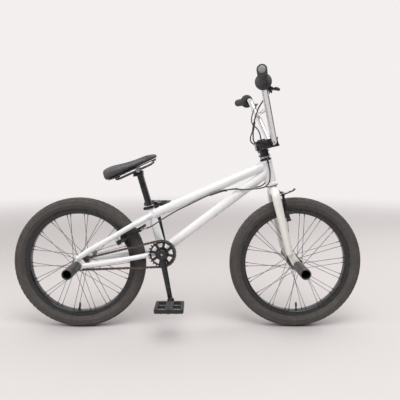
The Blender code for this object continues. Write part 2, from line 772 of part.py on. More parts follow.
def build_fork():
    """A steering tube with two legs that bend out of the crown, and their dropouts."""
    top = STEM_BASE_S + STEM_HEIGHT - 2.0
    pieces = [
        rod(steer_point(-20.0), steer_point(top), STEERER_RADIUS, sides=16),
        rod(steer_point(-34.0), steer_point(-CROWN_DROP), 18.5, sides=16)]
    foot = steer_point(-256.0, -1.0)
    for side in (-1, 1):
        path = fork_leg_path(side)
        radii = [FORK_LEG_TOP_RADIUS - 1.5, FORK_LEG_TOP_RADIUS - 0.5]
        radii += [FORK_LEG_TOP_RADIUS] * 4
        radii += [FORK_LEG_TOP_RADIUS - 0.6, FORK_LEG_TOP_RADIUS - 1.6,
                  FORK_LEG_FOOT_RADIUS]
        pieces.append(curved(path, radii))
        middle = side * (HUB_HALF_WIDTH + GAP + DROPOUT_THICKNESS / 2)
        x, z = (foot - FRONT_AXLE).x, (foot - FRONT_AXLE).z
        shape = wrapped([(0.0, 0.0, DROPOUT_RADIUS), (x, z, 12.0)])
        pieces.append(plate([shape], DROPOUT_THICKNESS, FRONT_AXLE + LEFT * middle,
                            -LEFT, (1, 0, 0)))
        pieces += brake_boss(FRONT_PIVOT, COLUMN_FRONT, side)
    body = joined(pieces)
    slot = AXLE_RADIUS + GAP
    cutters = [rod(steer_point(-60.0), steer_point(top + 30.0), STEERER_BORE, sides=16)]
    for side in (-1, 1):
        outward = FRONT_AXLE + LEFT * side * 58.0
        cutters.append(rod(outward - LEFT * 8.0, outward + LEFT * 8.0, slot, sides=8))
        cutters.append(block(outward - UP * 20.0, (2 * slot, 16.0, 40.0),
                             side=(1, 0, 0)))
    return finished(cut(body, cutters), "fork", CREAM, steering)


# Stem
STEM_MIDDLE_S = STEM_BASE_S + STEM_HEIGHT / 2


def build_stem():
    """A front-loading stem: the body, its bar clamp and the cap on the column."""
    middle = STEM_MIDDLE_S
    split = STEM_REACH - GAP / 2
    bar = steer_point(middle, STEM_REACH)
    rear = -27.0
    body = joined([
        block(steer_point(middle, (rear + 14.0) / 2), (2 * STEM_HALF_WIDTH,
              14.0 - rear, STEM_HEIGHT), COLUMN, LEFT),
        block(steer_point(middle, (split + 8.0) / 2), (2 * STEM_CLAMP_HALF_WIDTH,
              split - 8.0, STEM_HEIGHT - 1.0), COLUMN, LEFT, 2.0)])
    wide = STEM_CLAMP_HALF_WIDTH + 20.0
    low, high = steer_point(middle - 30.0), steer_point(middle + 30.0)
    cutters = [
        rod(low, high, around(STEERER_RADIUS, 16), sides=16),
        rod(bar - LEFT * wide, bar + LEFT * wide, BAR_BORE + GAP, sides=16),
        block(steer_point(middle, -25.0), (2.4, 24.0, STEM_HEIGHT + 10.0), COLUMN, LEFT),
        block(steer_point(middle + STEM_HEIGHT / 2, 21.5), (30.0, 9.0, 22.0), COLUMN,
              LEFT)]
    body = cut(body, cutters)
    bolts = []
    for lift in (-10.0, 10.0):
        place = steer_point(middle + lift, -21.0, -STEM_HALF_WIDTH + 1.0)
        bolts.append(rod(place, place - LEFT * 4.0, 4.5, sides=6))
    finished(joined([body] + bolts), "stem_body", BLACK_METAL, steering)
    clamp = block(steer_point(middle, STEM_REACH + GAP / 2 + 9.0),
                  (2 * STEM_CLAMP_HALF_WIDTH, 18.0, STEM_HEIGHT - 1.0), COLUMN, LEFT, 2.5)
    clamp = cut(clamp, [rod(bar - LEFT * wide, bar + LEFT * wide, BAR_BORE + GAP,
                            sides=16)])
    heads = []
    for side in (-1, 1):
        for lift in (-13.0, 13.0):
            face = steer_point(middle + lift, STEM_REACH + 17.0, side * 18.0)
            heads.append(rod(face, face + COLUMN_FRONT * 3.5, 4.2, sides=6))
    finished(joined([clamp] + heads), "stem_bar_clamp", BLACK_METAL, steering)
    base = STEM_BASE_S + STEM_HEIGHT + GAP
    cap = sleeve(steer_point(base), steer_point(base + TOP_CAP_HEIGHT), TOP_CAP_RADIUS,
                 4.0, sides=12)
    finished(cap, "top_cap", BLACK_METAL, steering)


# Handlebar
def bar_corners(side):
    centre = steer_point(STEM_MIDDLE_S, STEM_REACH)
    knee = centre + LEFT * side * BAR_KNEE_Y
    shoulder = Vector((BAR_SHOULDER[0], side * BAR_SHOULDER[1], BAR_SHOULDER[2]))
    end = Vector((BAR_END[0], side * BAR_END[1], BAR_END[2]))
    return centre, knee, shoulder, end


def build_handlebar():
    """A bar with a rise, its crossbar welded between the uprights."""
    centre, knee, shoulder, end = bar_corners(1)
    _, knee_right, shoulder_right, end_right = bar_corners(-1)
    corners = [end_right, shoulder_right, knee_right, knee, shoulder, end]
    path = rounded_route(corners, [37.0, 34.0, 34.0, 37.0], steps=2)
    bar = curved(path, BAR_RADIUS, resolution=3)
    left = knee.lerp(shoulder, CROSSBAR_SHARE)
    right = knee_right.lerp(shoulder_right, CROSSBAR_SHARE)
    brace = rod(right, left, CROSSBAR_RADIUS, sides=10)
    finished(joined([bar, brace]), "handlebar", CHROME, steering)


def build_grip(name, side):
    """A rubber grip with an inner flange and low ribs, over the end of the bar."""
    _, _, shoulder, end = bar_corners(side)
    out = (end - shoulder).normalized()
    start = end - out * (GRIP_LENGTH - 4.0)
    r = GRIP_RADIUS
    bore = around(BAR_RADIUS, GRIP_SIDES)
    profile = [(0.0, GRIP_LENGTH), (r - 2.0, GRIP_LENGTH), (r, GRIP_LENGTH - 3.0),
               (r, GRIP_LENGTH * 0.5), (r - 1.0, 14.0),
               (GRIP_FLANGE_RADIUS, 4.5), (GRIP_FLANGE_RADIUS, 0.0), (bore, 0.0),
               (bore, GRIP_LENGTH - 4.0 + GAP), (0.0, GRIP_LENGTH - 4.0 + GAP)]
    made = turned(profile, start, out, GRIP_SIDES)
    return finished(made, name, RUBBER, steering)


# Levers
def lever_frame(side):
    """The lever's axes: out along the bar, away from the bar, and its hinge axis."""
    _, _, shoulder, end = bar_corners(side)
    out = (end - shoulder).normalized()
    seat = shoulder + out * LEVER_FROM_SHOULDER
    away = Vector((0.771, 0, -0.635))
    away = (away - out * away.dot(out)).normalized()
    return seat, out, away, out.cross(away)


def build_lever(side, word):
    seat, out, away, hinge = lever_frame(side)
    pivot = seat + away * LEVER_PIVOT_W
    bracket = joined([
        rod(seat - out * 8.0, seat + out * 8.0, 17.0, sides=12),
        block(seat + away * 23.0 - out * 2.0, (18.0, 16.0, 34.0), away, out),
        rod(seat + away * 25.0 - out * 6.0, seat + away * 25.0 - out * 30.0, 4.8,
            sides=8)])
    ear = 3.4
    bracket = cut(bracket, [
        rod(seat - out * 30.0, seat + out * 30.0, around(BAR_BORE, 12), sides=12),
        block(seat + away * 36.0 + out * 6.0, (30.0, 2 * ear, 30.0), away, out)])
    pin = rod(pivot - hinge * 8.0, pivot + hinge * 8.0, 2.4, sides=6)
    finished(joined([bracket, pin]), f"{word}_lever_bracket", BLACK_METAL, steering)
    route = [(0.0, 0.0), (14.0, 5.0), (30.0, 9.0), (50.0, 15.0), (66.0, 23.0),
             (78.0, 31.0)]
    points = [pivot + out * e + away * w for e, w in route]
    path = smooth_route(points, 16.0)
    blade = curved(path, [3.0, 3.2, 4.0] + [4.6] * (len(path) - 3), resolution=1)
    blade = joined([
        rod(pivot - hinge * 3.0, pivot + hinge * 3.0, 6.2, sides=8), blade])
    blade = cut(blade, [rod(pivot - hinge * 9.0, pivot + hinge * 9.0, 2.4 + GAP,
                            sides=8)])
    axis = pivot_empty(f"{word}_lever_axis", pivot, steering)
    finished(blade, f"{word}_lever_blade", BLACK_METAL, axis)
    return seat + away * 25.0 - out * (30.0 + GAP), -out


# Cable rotor
def with_tabs(body, middle_s, thickness, tabs, hole=0.0):
    """Adds a pair of ears to a turned body, each with a hole for a cable if asked."""
    ears, holes = [], []
    for f, y in tabs:
        share = 20.6 / math.hypot(f, y)
        shape = wrapped([(share * f, share * y, 3.4), (f, y, 4.6)], sides=6)
        ears.append(plate([shape], thickness, steer_point(middle_s), COLUMN,
                          COLUMN_FRONT))
        if hole:
            outer = steer_point(middle_s, f, y)
            holes.append(rod(outer - COLUMN * 9.0, outer + COLUMN * 9.0, hole, sides=6))
    made = joined([body] + ears)
    return cut(made, holes) if holes else made


def build_rotor():
    """Two fixed plates and two races between them, which slide up as the lever pulls."""
    upper_tabs = [(UPPER_TAB_F, side * UPPER_TAB_Y) for side in (-1, 1)]
    lower_tabs = [(LOWER_TAB_F, side * LOWER_TAB_Y) for side in (-1, 1)]
    sides = ROTOR_SIDES
    column = around(STEERER_RADIUS, sides)
    base = HEAD_TUBE_LENGTH + 2 * GAP + CUP_HEIGHT
    thick = PLATE_THICKNESS
    lower = turned([(column, thick), (22.0, thick), (22.0, 0.0), (column, 0.0)],
                   steer_point(base), COLUMN, sides, closed=True)
    lower = with_tabs(lower, base + thick / 2, thick - 0.8, lower_tabs, FERRULE_BORE)
    finished(lower, "rotor_lower_plate", BLACK_METAL, frame_carrier)
    foot = base + thick + GAP
    top = STEM_BASE_S - GAP - foot
    low, high = UPPER_PLATE_S - foot, UPPER_PLATE_S + thick - foot
    upper = turned([(column, top), (COLLAR_RADIUS, top), (COLLAR_RADIUS, high),
                    (22.0, high), (22.0, low), (COLLAR_RADIUS, low),
                    (COLLAR_RADIUS, 0.0), (column, 0.0)],
                   steer_point(foot), COLUMN, sides, closed=True)
    upper = with_tabs(upper, UPPER_PLATE_S + thick / 2, thick - 0.8, upper_tabs,
                      FERRULE_BORE)
    finished(upper, "rotor_upper_plate", BLACK_METAL, steering)
    bore = around(COLLAR_RADIUS, sides)
    lower_top = LOWER_RACE_S + RACE_HEIGHT
    race = turned([(bore, RACE_HEIGHT), (RACE_RADIUS, RACE_HEIGHT), (RACE_RADIUS, 0.0),
                   (bore, 0.0)], steer_point(LOWER_RACE_S), COLUMN, sides, closed=True)
    race = with_tabs(race, LOWER_RACE_S + 2.2, 2.8, lower_tabs)
    pins = []
    for f, y in lower_tabs:
        pin_foot = steer_point(base - ROTOR_TRAVEL - 1.5, f, y)
        pins.append(rod(pin_foot, steer_point(LOWER_RACE_S + 2.0, f, y), PIN_RADIUS,
                        sides=6))
    axis = pivot_empty("lower_race_axis", steer_point(LOWER_RACE_S), frame_carrier)
    finished(joined([race] + pins), "rotor_lower_race", STEEL, axis)
    upper_foot = lower_top + GAP
    upper_top = upper_foot + RACE_HEIGHT
    race = turned([(bore, RACE_HEIGHT), (RACE_RADIUS - 1.0, RACE_HEIGHT),
                   (RACE_RADIUS - 1.0, 0.0), (bore, 0.0)],
                  steer_point(upper_foot), COLUMN, sides, closed=True)
    race = with_tabs(race, upper_top - 2.2, 2.8, upper_tabs)
    pins = []
    for f, y in upper_tabs:
        pin_head = steer_point(UPPER_PLATE_S + thick + 1.5, f, y)
        pins.append(rod(steer_point(upper_top - 2.0, f, y), pin_head, PIN_RADIUS,
                        sides=6))
    axis = pivot_empty("upper_race_axis", steer_point(upper_foot), steering)
    finished(joined([race] + pins), "rotor_upper_race", BLACK_METAL, axis)
    return base


def ferrule(mouth, away, length, bore_depth):
    """The solid end of a cable's housing and the cutter for the bore at its mouth."""
    solid = rod(mouth, mouth + away * length, FERRULE_RADIUS, sides=8)
    hollow = rod(mouth - away * 2.0, mouth + away * bore_depth, FERRULE_BORE, sides=6)
    return solid, hollow


def build_rotor_cables(lever_mouth, lever_way, base, noodle_mouth, noodle_way):
    """One cable that splits in two above the rotor, and two that join below it."""
    over = UPPER_PLATE_S + PLATE_THICKNESS + GAP
    ferrules, hollows, ends = [], [], []
    for side in (-1, 1):
        mouth = steer_point(over, UPPER_TAB_F, side * UPPER_TAB_Y)
        solid, hollow = ferrule(mouth, COLUMN, 12.0, ROTOR_TRAVEL + 3.0)
        ferrules.append(solid)
        hollows.append(hollow)
        ends.append(mouth + COLUMN * 11.5)
    split = Vector((243.0, -38.0, 764.0))
    right = [lever_mouth, lever_mouth + lever_way * 14.0, (281.0, -132.0, 873.0),
             (268.0, -105.0, 856.0), (253.0, -80.0, 828.0), (245.0, -56.0, 794.0), split,
             (243.0, -34.0, 738.0), (247.0, -32.0, 716.0), ends[0] + COLUMN * 9.0,
             ends[0]]
    left = [split + Vector((0.5, -8.0, 10.0)), split, (241.0, -14.0, 748.0),
            (240.0, 16.0, 734.0), (245.0, 31.0, 716.0), ends[1] + COLUMN * 9.0, ends[1]]
    pieces = [curved(smooth_route(right, 24.0), CABLE_RADIUS, resolution=1),
              curved(smooth_route(left, 24.0), CABLE_RADIUS, resolution=1),
              rod(split + Vector((1.0, -12.0, 16.0)), split + Vector((-0.5, 4.0, -6.0)),
                  SLEEVE_RADIUS, sides=10)]
    finished(cut(joined(pieces + ferrules), hollows), "rotor_upper_cable", BLACK_PLASTIC,
             steering)
    under = base - GAP
    ferrules, hollows, ends = [], [], []
    for side in (-1, 1):
        mouth = steer_point(under, LOWER_TAB_F, side * LOWER_TAB_Y)
        solid, hollow = ferrule(mouth, -COLUMN, 14.0, ROTOR_TRAVEL + 4.0)
        ferrules.append(solid)
        hollows.append(hollow)
        ends.append(mouth - COLUMN * 13.5)
    join = Vector((136.0, -7.0, 532.5))
    right = [ends[0], ends[0] - COLUMN * 10.0, (307.5, -31.0, 607.0),
             (307.0, -34.0, 572.0), (298.0, -35.0, 556.0), (289.0, -32.0, 548.0),
             (272.0, -26.0, 543.0), (245.0, -25.0, 540.0), (214.5, -24.0, 538.0),
             (175.0, -15.0, 538.5), join, (110.0, -14.0, 525.0), (80.0, -18.0, 515.5),
             (40.8, -15.0, 497.5), (0.0, -10.0, 476.5), (-42.1, -10.0, 456.0),
             (-82.0, -18.0, 433.0), (-106.0, -27.0, 419.0), (-124.0, -42.0, 408.0),
             noodle_mouth + noodle_way * 12.0, noodle_mouth]
    left = [ends[1], ends[1] - COLUMN * 10.0, (307.5, 31.0, 607.0),
            (306.0, 33.0, 572.0), (297.0, 33.0, 556.0), (279.5, 28.0, 546.0),
            (246.0, 25.0, 541.0), (214.5, 23.5, 538.5), (176.0, 12.0, 537.5), join,
            join + Vector((-8.0, -1.5, -2.6))]
    pieces = [curved(smooth_route(right, 24.0), CABLE_RADIUS, resolution=1),
              curved(smooth_route(left, 24.0), CABLE_RADIUS, resolution=1),
              curved(smooth_route([join + Vector((14.0, 1.5, 0.6)), join,
                                   (110.0, -14.0, 525.0), (84.0, -17.6, 516.5)], 13.0),
                     SLEEVE_RADIUS, resolution=1)]
    finished(cut(joined(pieces + ferrules), hollows), "rotor_lower_cable", BLACK_PLASTIC,
             frame_carrier)


def build_front_cable(lever_mouth, lever_way, noodle_mouth, noodle_way):
    """The front brake's cable, down through the steering column and out at the crown."""
    cap_top = STEM_BASE_S + STEM_HEIGHT + TOP_CAP_HEIGHT
    route = [lever_mouth, lever_mouth + lever_way * 14.0, (281.0, 132.0, 873.0),
             (269.0, 105.0, 857.0), (255.0, 80.0, 830.0), (248.0, 58.0, 802.0),
             (251.0, 32.0, 781.0), (262.0, 10.0, 768.0), steer_point(cap_top + 24.0),
             steer_point(cap_top), steer_point(120.0), steer_point(60.0),
             steer_point(0.0), steer_point(-33.0), steer_point(-43.0, 6.0, 4.0),
             steer_point(-49.0, 24.0, 13.0), steer_point(-47.0, 48.0, 16.0),
             steer_point(-42.0, 70.0, 4.0), steer_point(-35.0, 79.0, -18.0),
             steer_point(-29.0, 72.0, -40.0), noodle_mouth + noodle_way * 13.0,
             noodle_mouth]
    made = curved(smooth_route(route, 20.0), CABLE_RADIUS, resolution=1)
    finished(made, "front_brake_cable", BLACK_PLASTIC, steering)


# Brakes
def build_brake(word, pivot, up, out, axle, carrier, mouth_turn):
    """Two arms with their pads, the curved guide pipe and the wire between the arms."""
    arms = {}
    for side, which in ((-1, "right"), (1, "left")):
        centre = pivot + LEFT * side * BRAKE_ARM_Y
        top = centre + up * BRAKE_ARM_LENGTH
        pad_place = centre + up * PAD_RISE
        pieces = [
            rod(centre - out * BARREL_HALF, centre + out * BARREL_HALF, 8.0, sides=8),
            rod(centre, top, BRAKE_ARM_RADIUS, 4.6, sides=6),
            block(pad_place, (14.0, 2 * PAD_SEAT, 27.0), up, out),
            rod(top - LEFT * side * 7.0, top + LEFT * side * 6.0, 5.8, sides=6)]
        holes = [
            rod(centre - out * 30.0, centre + out * 30.0, BOSS_PIN_RADIUS + 1.5 * GAP,
                sides=8),
            rod(pad_place - LEFT * 20.0, pad_place + LEFT * 20.0,
                PAD_POST_RADIUS + 1.5 * GAP, sides=6),
            rod(top - LEFT * 30.0, top + LEFT * 30.0, CABLE_RADIUS + 2 * GAP, sides=6)]
        axis = pivot_empty(f"{word}_{which}_arm_axis", centre, carrier)
        arms[which] = axis
        arm = cut(joined(pieces), holes)
        finished(arm, f"{word}_{which}_brake_arm", BLACK_METAL, axis)
        radial = (pad_place - axle)
        radial.y = 0.0
        radial.normalize()
        face = RIM_HALF_WIDTH + PAD_CLEARANCE
        back = face + PAD_THICKNESS
        middle = Vector((pad_place.x, side * (face + back) / 2, pad_place.z))
        inside = BRAKE_ARM_Y - PAD_SEAT - GAP
        outside = BRAKE_ARM_Y + PAD_SEAT + GAP
        on_axis = Vector((pad_place.x, 0, pad_place.z))

        def across(y):
            return on_axis + LEFT * side * y

        pad = joined([
            block(middle, (PAD_HEIGHT, PAD_THICKNESS, PAD_LENGTH),
                  radial.cross(LEFT), radial),
            rod(across(back - 1.0), across(outside + 2.0), PAD_POST_RADIUS, sides=6),
            rod(across(back - 2.0), across(inside), 5.6, sides=6),
            rod(across(outside), across(outside + 4.0), 5.6, sides=6)])
        finished(pad, f"{word}_{which}_brake_pad", RUBBER, axis)
    top = pivot + up * BRAKE_ARM_LENGTH
    right_top = top - LEFT * BRAKE_ARM_Y
    inner = right_top + LEFT * 12.0
    elbow = right_top - LEFT * 14.5
    way = mouth_turn.normalized()
    path = rounded_route([inner, elbow, elbow + way * 20.0], [7.5], steps=4)
    pipe = joined([curved(path, CABLE_RADIUS),
                   rod(right_top - LEFT * 6.0 - LEFT * GAP,
                       right_top - LEFT * 8.5, 4.0, sides=6)])
    finished(pipe, f"{word}_brake_pipe", STEEL, arms["right"])
    start = inner + LEFT * GAP
    end = top + LEFT * (BRAKE_ARM_Y + 14.0)
    boot_end = start + LEFT * 22.0
    wire = joined([rod(start, end, 1.1, sides=6), rod(start, boot_end, 4.2, 2.2,
                                                     sides=8),
                   rod(end, end - LEFT * 5.0, 2.2, sides=6)])
    finished(wire, f"{word}_brake_wire", BLACK_PLASTIC, carrier)
    mouth = elbow + way * (20.0 + HOUSING_GAP)
    return mouth, way


# Seat
SADDLE_ALONG = (Vector(SADDLE_NOSE) - Vector(SADDLE_REAR)).normalized()
SADDLE_UP = SADDLE_ALONG.cross(LEFT)
SADDLE_LENGTH = (Vector(SADDLE_NOSE) - Vector(SADDLE_REAR)).length
SADDLE_WIDTHS = [(0.0, 0.52), (0.05, 0.82), (0.17, 1.0), (0.35, 0.93), (0.54, 0.60),
                 (0.74, 0.36), (0.94, 0.27), (1.0, 0.15)]
SADDLE_BASE_DEEP = 2 * GAP + SADDLE_BASE_THICKNESS


def saddle_point(u, y, height):
    """A point a share u from the saddle's rear to its nose, above its top line."""
    return (Vector(SADDLE_REAR) + SADDLE_ALONG * (u * SADDLE_LENGTH) + LEFT * y
            + SADDLE_UP * height)


def saddle_depth(u):
    """How far the cover's lower edge lies below the top line."""
    return SADDLE_DEPTH_REAR + (SADDLE_DEPTH_NOSE - SADDLE_DEPTH_REAR) * u


def rail_point(u, y, lift=0.0):
    """A point on the saddle's rails, which run level with the base above them."""
    drop = saddle_depth(u) + SADDLE_BASE_DEEP + RAIL_SOCKET + RAIL_DROP
    return saddle_point(u, y, lift - drop)


SADDLE_PIVOT = rail_point(SADDLE_CLAMP_SHARE, 0.0)
POST_TOP_T = (SADDLE_PIVOT.z - CRADLE_HEIGHT - BRACKET_Z) / math.sin(SEAT_ANGLE)
POST_TOP = seat_point(POST_TOP_T)


def build_seat_clamp():
    """The ring that squeezes the seat tube on the post, with its bolt behind."""
    low, high = 173.0, SEAT_TUBE_LENGTH - 1.0
    bore = SEAT_TUBE_RADIUS + GAP
    pieces = [
        rod(seat_point(low), seat_point(high), bore + 3.6, sides=14),
        block(seat_point((low + high) / 2, -bore - 4.0), (10.0, 14.0, high - low - 0.8),
              SEAT_LINE, SEAT_FRONT)]
    middle = seat_point((low + high) / 2, -bore - 6.2)
    pieces.append(rod(middle - LEFT * 11.0, middle + LEFT * 11.0, 3.4, sides=8))
    clamp = joined(pieces)
    slot = block(seat_point((low + high) / 2, -bore), (8.0, 2.0, 30.0), SEAT_LINE,
                 SEAT_FRONT)
    clamp = cut(clamp, [slot, rod(seat_point(low - 9), seat_point(high + 9), bore,
                                  sides=14)])
    finished(clamp, "seat_clamp", STEEL, frame_carrier)


def build_seatpost(carrier):
    """The post, with a hollow cradle at its top that the rail drum turns in."""
    pieces = [
        rod(POST_TOP - SEAT_LINE * POST_LENGTH, POST_TOP, POST_RADIUS, sides=14),
        block(SADDLE_PIVOT - UP * 13.0, (30.0, 34.0, 22.0), UP, (1, 0, 0))]
    bolt = SADDLE_PIVOT - UP * 16.0 - Vector((16.0, 0, 0))
    pieces.append(rod(bolt - UP * 6.0, bolt + UP * 6.0, 5.0, sides=8))
    pieces.append(block(bolt + Vector((3.0, 0, 0)), (12.0, 12.0, 8.0), UP, (1, 0, 0)))
    body = joined(pieces)
    body = cut(body, [rod(SADDLE_PIVOT - LEFT * 40.0, SADDLE_PIVOT + LEFT * 40.0,
                          DRUM_RADIUS + 1.5 * GAP, sides=12)])
    finished(body, "seatpost", BLACK_METAL, carrier)


def build_saddle(carrier):
    """A padded cover with drawn-in sides over a base, its rails and the rail drum."""
    rings = []
    for u, share in SADDLE_WIDTHS:
        w = share * SADDLE_HALF_WIDTH
        d = saddle_depth(u)
        dish = 2.5 - 7.0 * math.sin(math.pi * u) ** 2
        edge = dish if 0.02 < u < 0.98 else -7.0
        half = [(0.0, edge), (0.50 * w, edge - 0.5), (0.88 * w, edge - 6.0),
                (1.02 * w, -0.42 * d - 4.0), (0.93 * w, -d)]
        ring = half + [(0.0, -d)] + [(-y, z) for y, z in reversed(half[1:])]
        rings.append([saddle_point(u, y, z) for y, z in ring])
    cover = loft(rings, subdivide=1)
    finished(cover, "saddle_cover", VINYL, carrier, edge=60.0)
    base_rings = []
    for u, share in SADDLE_WIDTHS[1:-1]:
        w = 0.80 * share * SADDLE_HALF_WIDTH
        d = saddle_depth(u) + 2 * GAP
        low = d + SADDLE_BASE_THICKNESS
        ring = [(-w, -d), (w, -d), (0.94 * w, -low), (-0.94 * w, -low)]
        base_rings.append([saddle_point(u, y, z) for y, z in ring])
    base = loft(base_rings)
    sockets = []
    for u, spread, wide in ((0.20, RAIL_HALF_SPREAD, 12.0),
                            (0.20, -RAIL_HALF_SPREAD, 12.0), (0.89, 0.0, 26.0)):
        low = -saddle_depth(u) - SADDLE_BASE_DEEP - RAIL_SOCKET
        middle = saddle_point(u, spread, low + RAIL_SOCKET / 2 + 0.5)
        sockets.append(block(middle, (16.0, wide, RAIL_SOCKET + 1.0), SADDLE_UP,
                             SADDLE_ALONG))
    finished(joined([base] + sockets), "saddle_base", BLACK_PLASTIC, carrier)
    near = RAIL_DROP - GAP
    spread = RAIL_HALF_SPREAD
    half = [rail_point(0.20, spread, near), rail_point(0.20, spread),
            rail_point(0.74, spread), rail_point(0.82, 12.0),
            rail_point(0.88, 8.0, near - RAIL_RADIUS - GAP)]
    corners = half + [Vector((p.x, -p.y, p.z)) for p in reversed(half)]
    path = rounded_route(corners, [5.0, 16.0, 10.0, 5.0, 5.0, 10.0, 16.0, 5.0], steps=2)
    finished(curved(path, RAIL_RADIUS, resolution=1), "saddle_rails", STEEL, carrier)
    drum = rod(SADDLE_PIVOT - LEFT * 28.0, SADDLE_PIVOT + LEFT * 28.0, DRUM_RADIUS,
               sides=12)
    holes = []
    for side in (-1, 1):
        first = rail_point(0.4, side * RAIL_HALF_SPREAD)
        last = rail_point(0.8, side * RAIL_HALF_SPREAD)
        holes.append(rod(first, last, RAIL_RADIUS + 2 * GAP, sides=8))
    finished(cut(drum, holes), "saddle_clamp", STEEL, carrier)


# Drive
def pitch_radius(teeth, pitch):
    """The radius at which the rollers lie, a pitch apart along the circle."""
    return pitch * teeth / (2 * math.pi)


def chain_layout():
    """The chain's pins in world X and Z, its pitch, and each sprocket's turn."""
    span = BRACKET - REAR_AXLE
    distance = span.length
    tilt = math.atan2(span.z, span.x)
    pitch = CHAIN_PITCH
    for _ in range(8):
        ring_r = pitch_radius(RING_TEETH, pitch)
        cog_r = pitch_radius(COG_TEETH, pitch)
        lean = math.asin((ring_r - cog_r) / distance)
        run = distance * math.cos(lean)
        ring_arc = ring_r * (math.pi + 2 * lean)
        cog_arc = cog_r * (math.pi - 2 * lean)
        total = 2 * run + ring_arc + cog_arc
        count = 2 * round(total / CHAIN_PITCH / 2)
        pitch = total / count
    top = math.pi / 2 + lean
    pins = []
    ring_first = cog_first = None
    for i in range(count):
        gone = (i + 0.5) * pitch
        if gone < ring_arc:
            angle = gone / ring_r - top
            ring_first = angle if ring_first is None else ring_first
            place = (ring_r * math.cos(angle), ring_r * math.sin(angle))
        elif gone < ring_arc + run:
            gone -= ring_arc
            place = (ring_r * math.cos(top) - gone * math.sin(top),
                     ring_r * math.sin(top) + gone * math.cos(top))
        elif gone < ring_arc + run + cog_arc:
            angle = top + (gone - ring_arc - run) / cog_r
            cog_first = angle if cog_first is None else cog_first
            place = (cog_r * math.cos(angle) - distance, cog_r * math.sin(angle))
        else:
            gone -= ring_arc + run + cog_arc
            place = (cog_r * math.cos(-top) - distance + gone * math.sin(top),
                     cog_r * math.sin(-top) + gone * math.cos(top))
        pins.append(place)
    cosine, sine = math.cos(tilt), math.sin(tilt)
    pins = [(BRACKET.x + x * cosine - z * sine, BRACKET.z + x * sine + z * cosine)
            for x, z in pins]
    ring_turn = tilt + ring_first + math.pi / RING_TEETH
    cog_turn = tilt + cog_first + math.pi / COG_TEETH
    return pins, pitch, ring_turn, cog_turn


CHAIN_PINS, LINK_PITCH, RING_TURN, COG_TURN = chain_layout()


def toothed_outline(teeth, turn):
    """A sprocket's outline: each tooth stands between two rollers of the chain."""
    middle_r = pitch_radius(teeth, LINK_PITCH)
    root = middle_r - ROLLER_RADIUS - 0.5
    tip = middle_r + 2.8
    outline = []
    for i in range(teeth):
        middle = turn + 2 * math.pi * i / teeth
        for radius, half in ((root, -3.1), (tip, -1.0), (tip, 1.0), (root, 3.1)):
            angle = middle + half / radius
            outline.append((radius * math.cos(angle), radius * math.sin(angle)))
    return outline


def chain_edge(offset_pin, offset_waist=None):
    """One edge of the chain's side plates, drawn in between the pins if asked."""
    edge = []
    count = len(CHAIN_PINS)
    for i in range(count):
        before = Vector(CHAIN_PINS[i - 1])
        here = Vector(CHAIN_PINS[i])
        after = Vector(CHAIN_PINS[(i + 1) % count])
        along = (after - before).normalized()
        edge.append(here + Vector((along.y, -along.x)) * offset_pin)
        if offset_waist is not None:
            along = (after - here).normalized()
            waist = Vector((along.y, -along.x)) * offset_waist
            edge.append((here + after) / 2 + waist)
    return [(p.x, p.y) for p in edge]


def build_chain(carrier):
    """The side plates of the links, a wide and a drawn-in stretch for each pitch."""
    outer = chain_edge(4.2, 3.0)
    inner = chain_edge(-3.9)
    pieces = []
    for side in (-1, 1):
        middle = CHAIN_LINE + side * (CHAIN_HALF_WIDTH - CHAIN_PLATE / 2)
        pieces.append(plate([outer, inner], CHAIN_PLATE, LEFT * middle, -LEFT,
                            (1, 0, 0)))
    half = CHAIN_HALF_WIDTH - CHAIN_PLATE / 2
    for x, z in CHAIN_PINS:
        place = Vector((x, CHAIN_LINE, z))
        pieces.append(rod(place - LEFT * half, place + LEFT * half, ROLLER_RADIUS,
                          sides=4))
    finished(joined(pieces), "chain", DARK_STEEL, carrier)


def build_sprockets():
    """The chainring with its windows, and the small cog on its driver sleeve."""
    windows = []
    for i in range(8):
        turn = 2 * math.pi * i / 8 + 0.2
        shape = []
        for radius, half in ((26.0, 5.5), (41.5, 11.0)):
            ends = (-half, half) if radius < 30.0 else (half, -half)
            for offset in ends:
                angle = turn + offset / radius
                shape.append((radius * math.cos(angle), radius * math.sin(angle)))
        windows.append(shape)
    hole = circle(around(SPINDLE_RADIUS, 12), 12)
    ring = plate([toothed_outline(RING_TEETH, RING_TURN)] + windows + [hole],
                 SPROCKET_THICKNESS, BRACKET + LEFT * CHAIN_LINE, -LEFT, (1, 0, 0))
    finished(ring, "chainring", BLACK_METAL, crank_axis)
    cog = plate([toothed_outline(COG_TEETH, COG_TURN)], SPROCKET_THICKNESS,
                REAR_AXLE + LEFT * CHAIN_LINE, -LEFT, (1, 0, 0))
    outside, inside = HUB_HALF_WIDTH - GAP, DRIVER_HALF_GAP
    body = rod(REAR_AXLE - LEFT * outside, REAR_AXLE - LEFT * inside, 12.6, sides=12)
    bore = rod(REAR_AXLE - LEFT * 70.0, REAR_AXLE, around(AXLE_RADIUS, 8), sides=8)
    finished(cut(joined([body, cog]), [bore]), "driver_cog", STEEL, driver_axis)


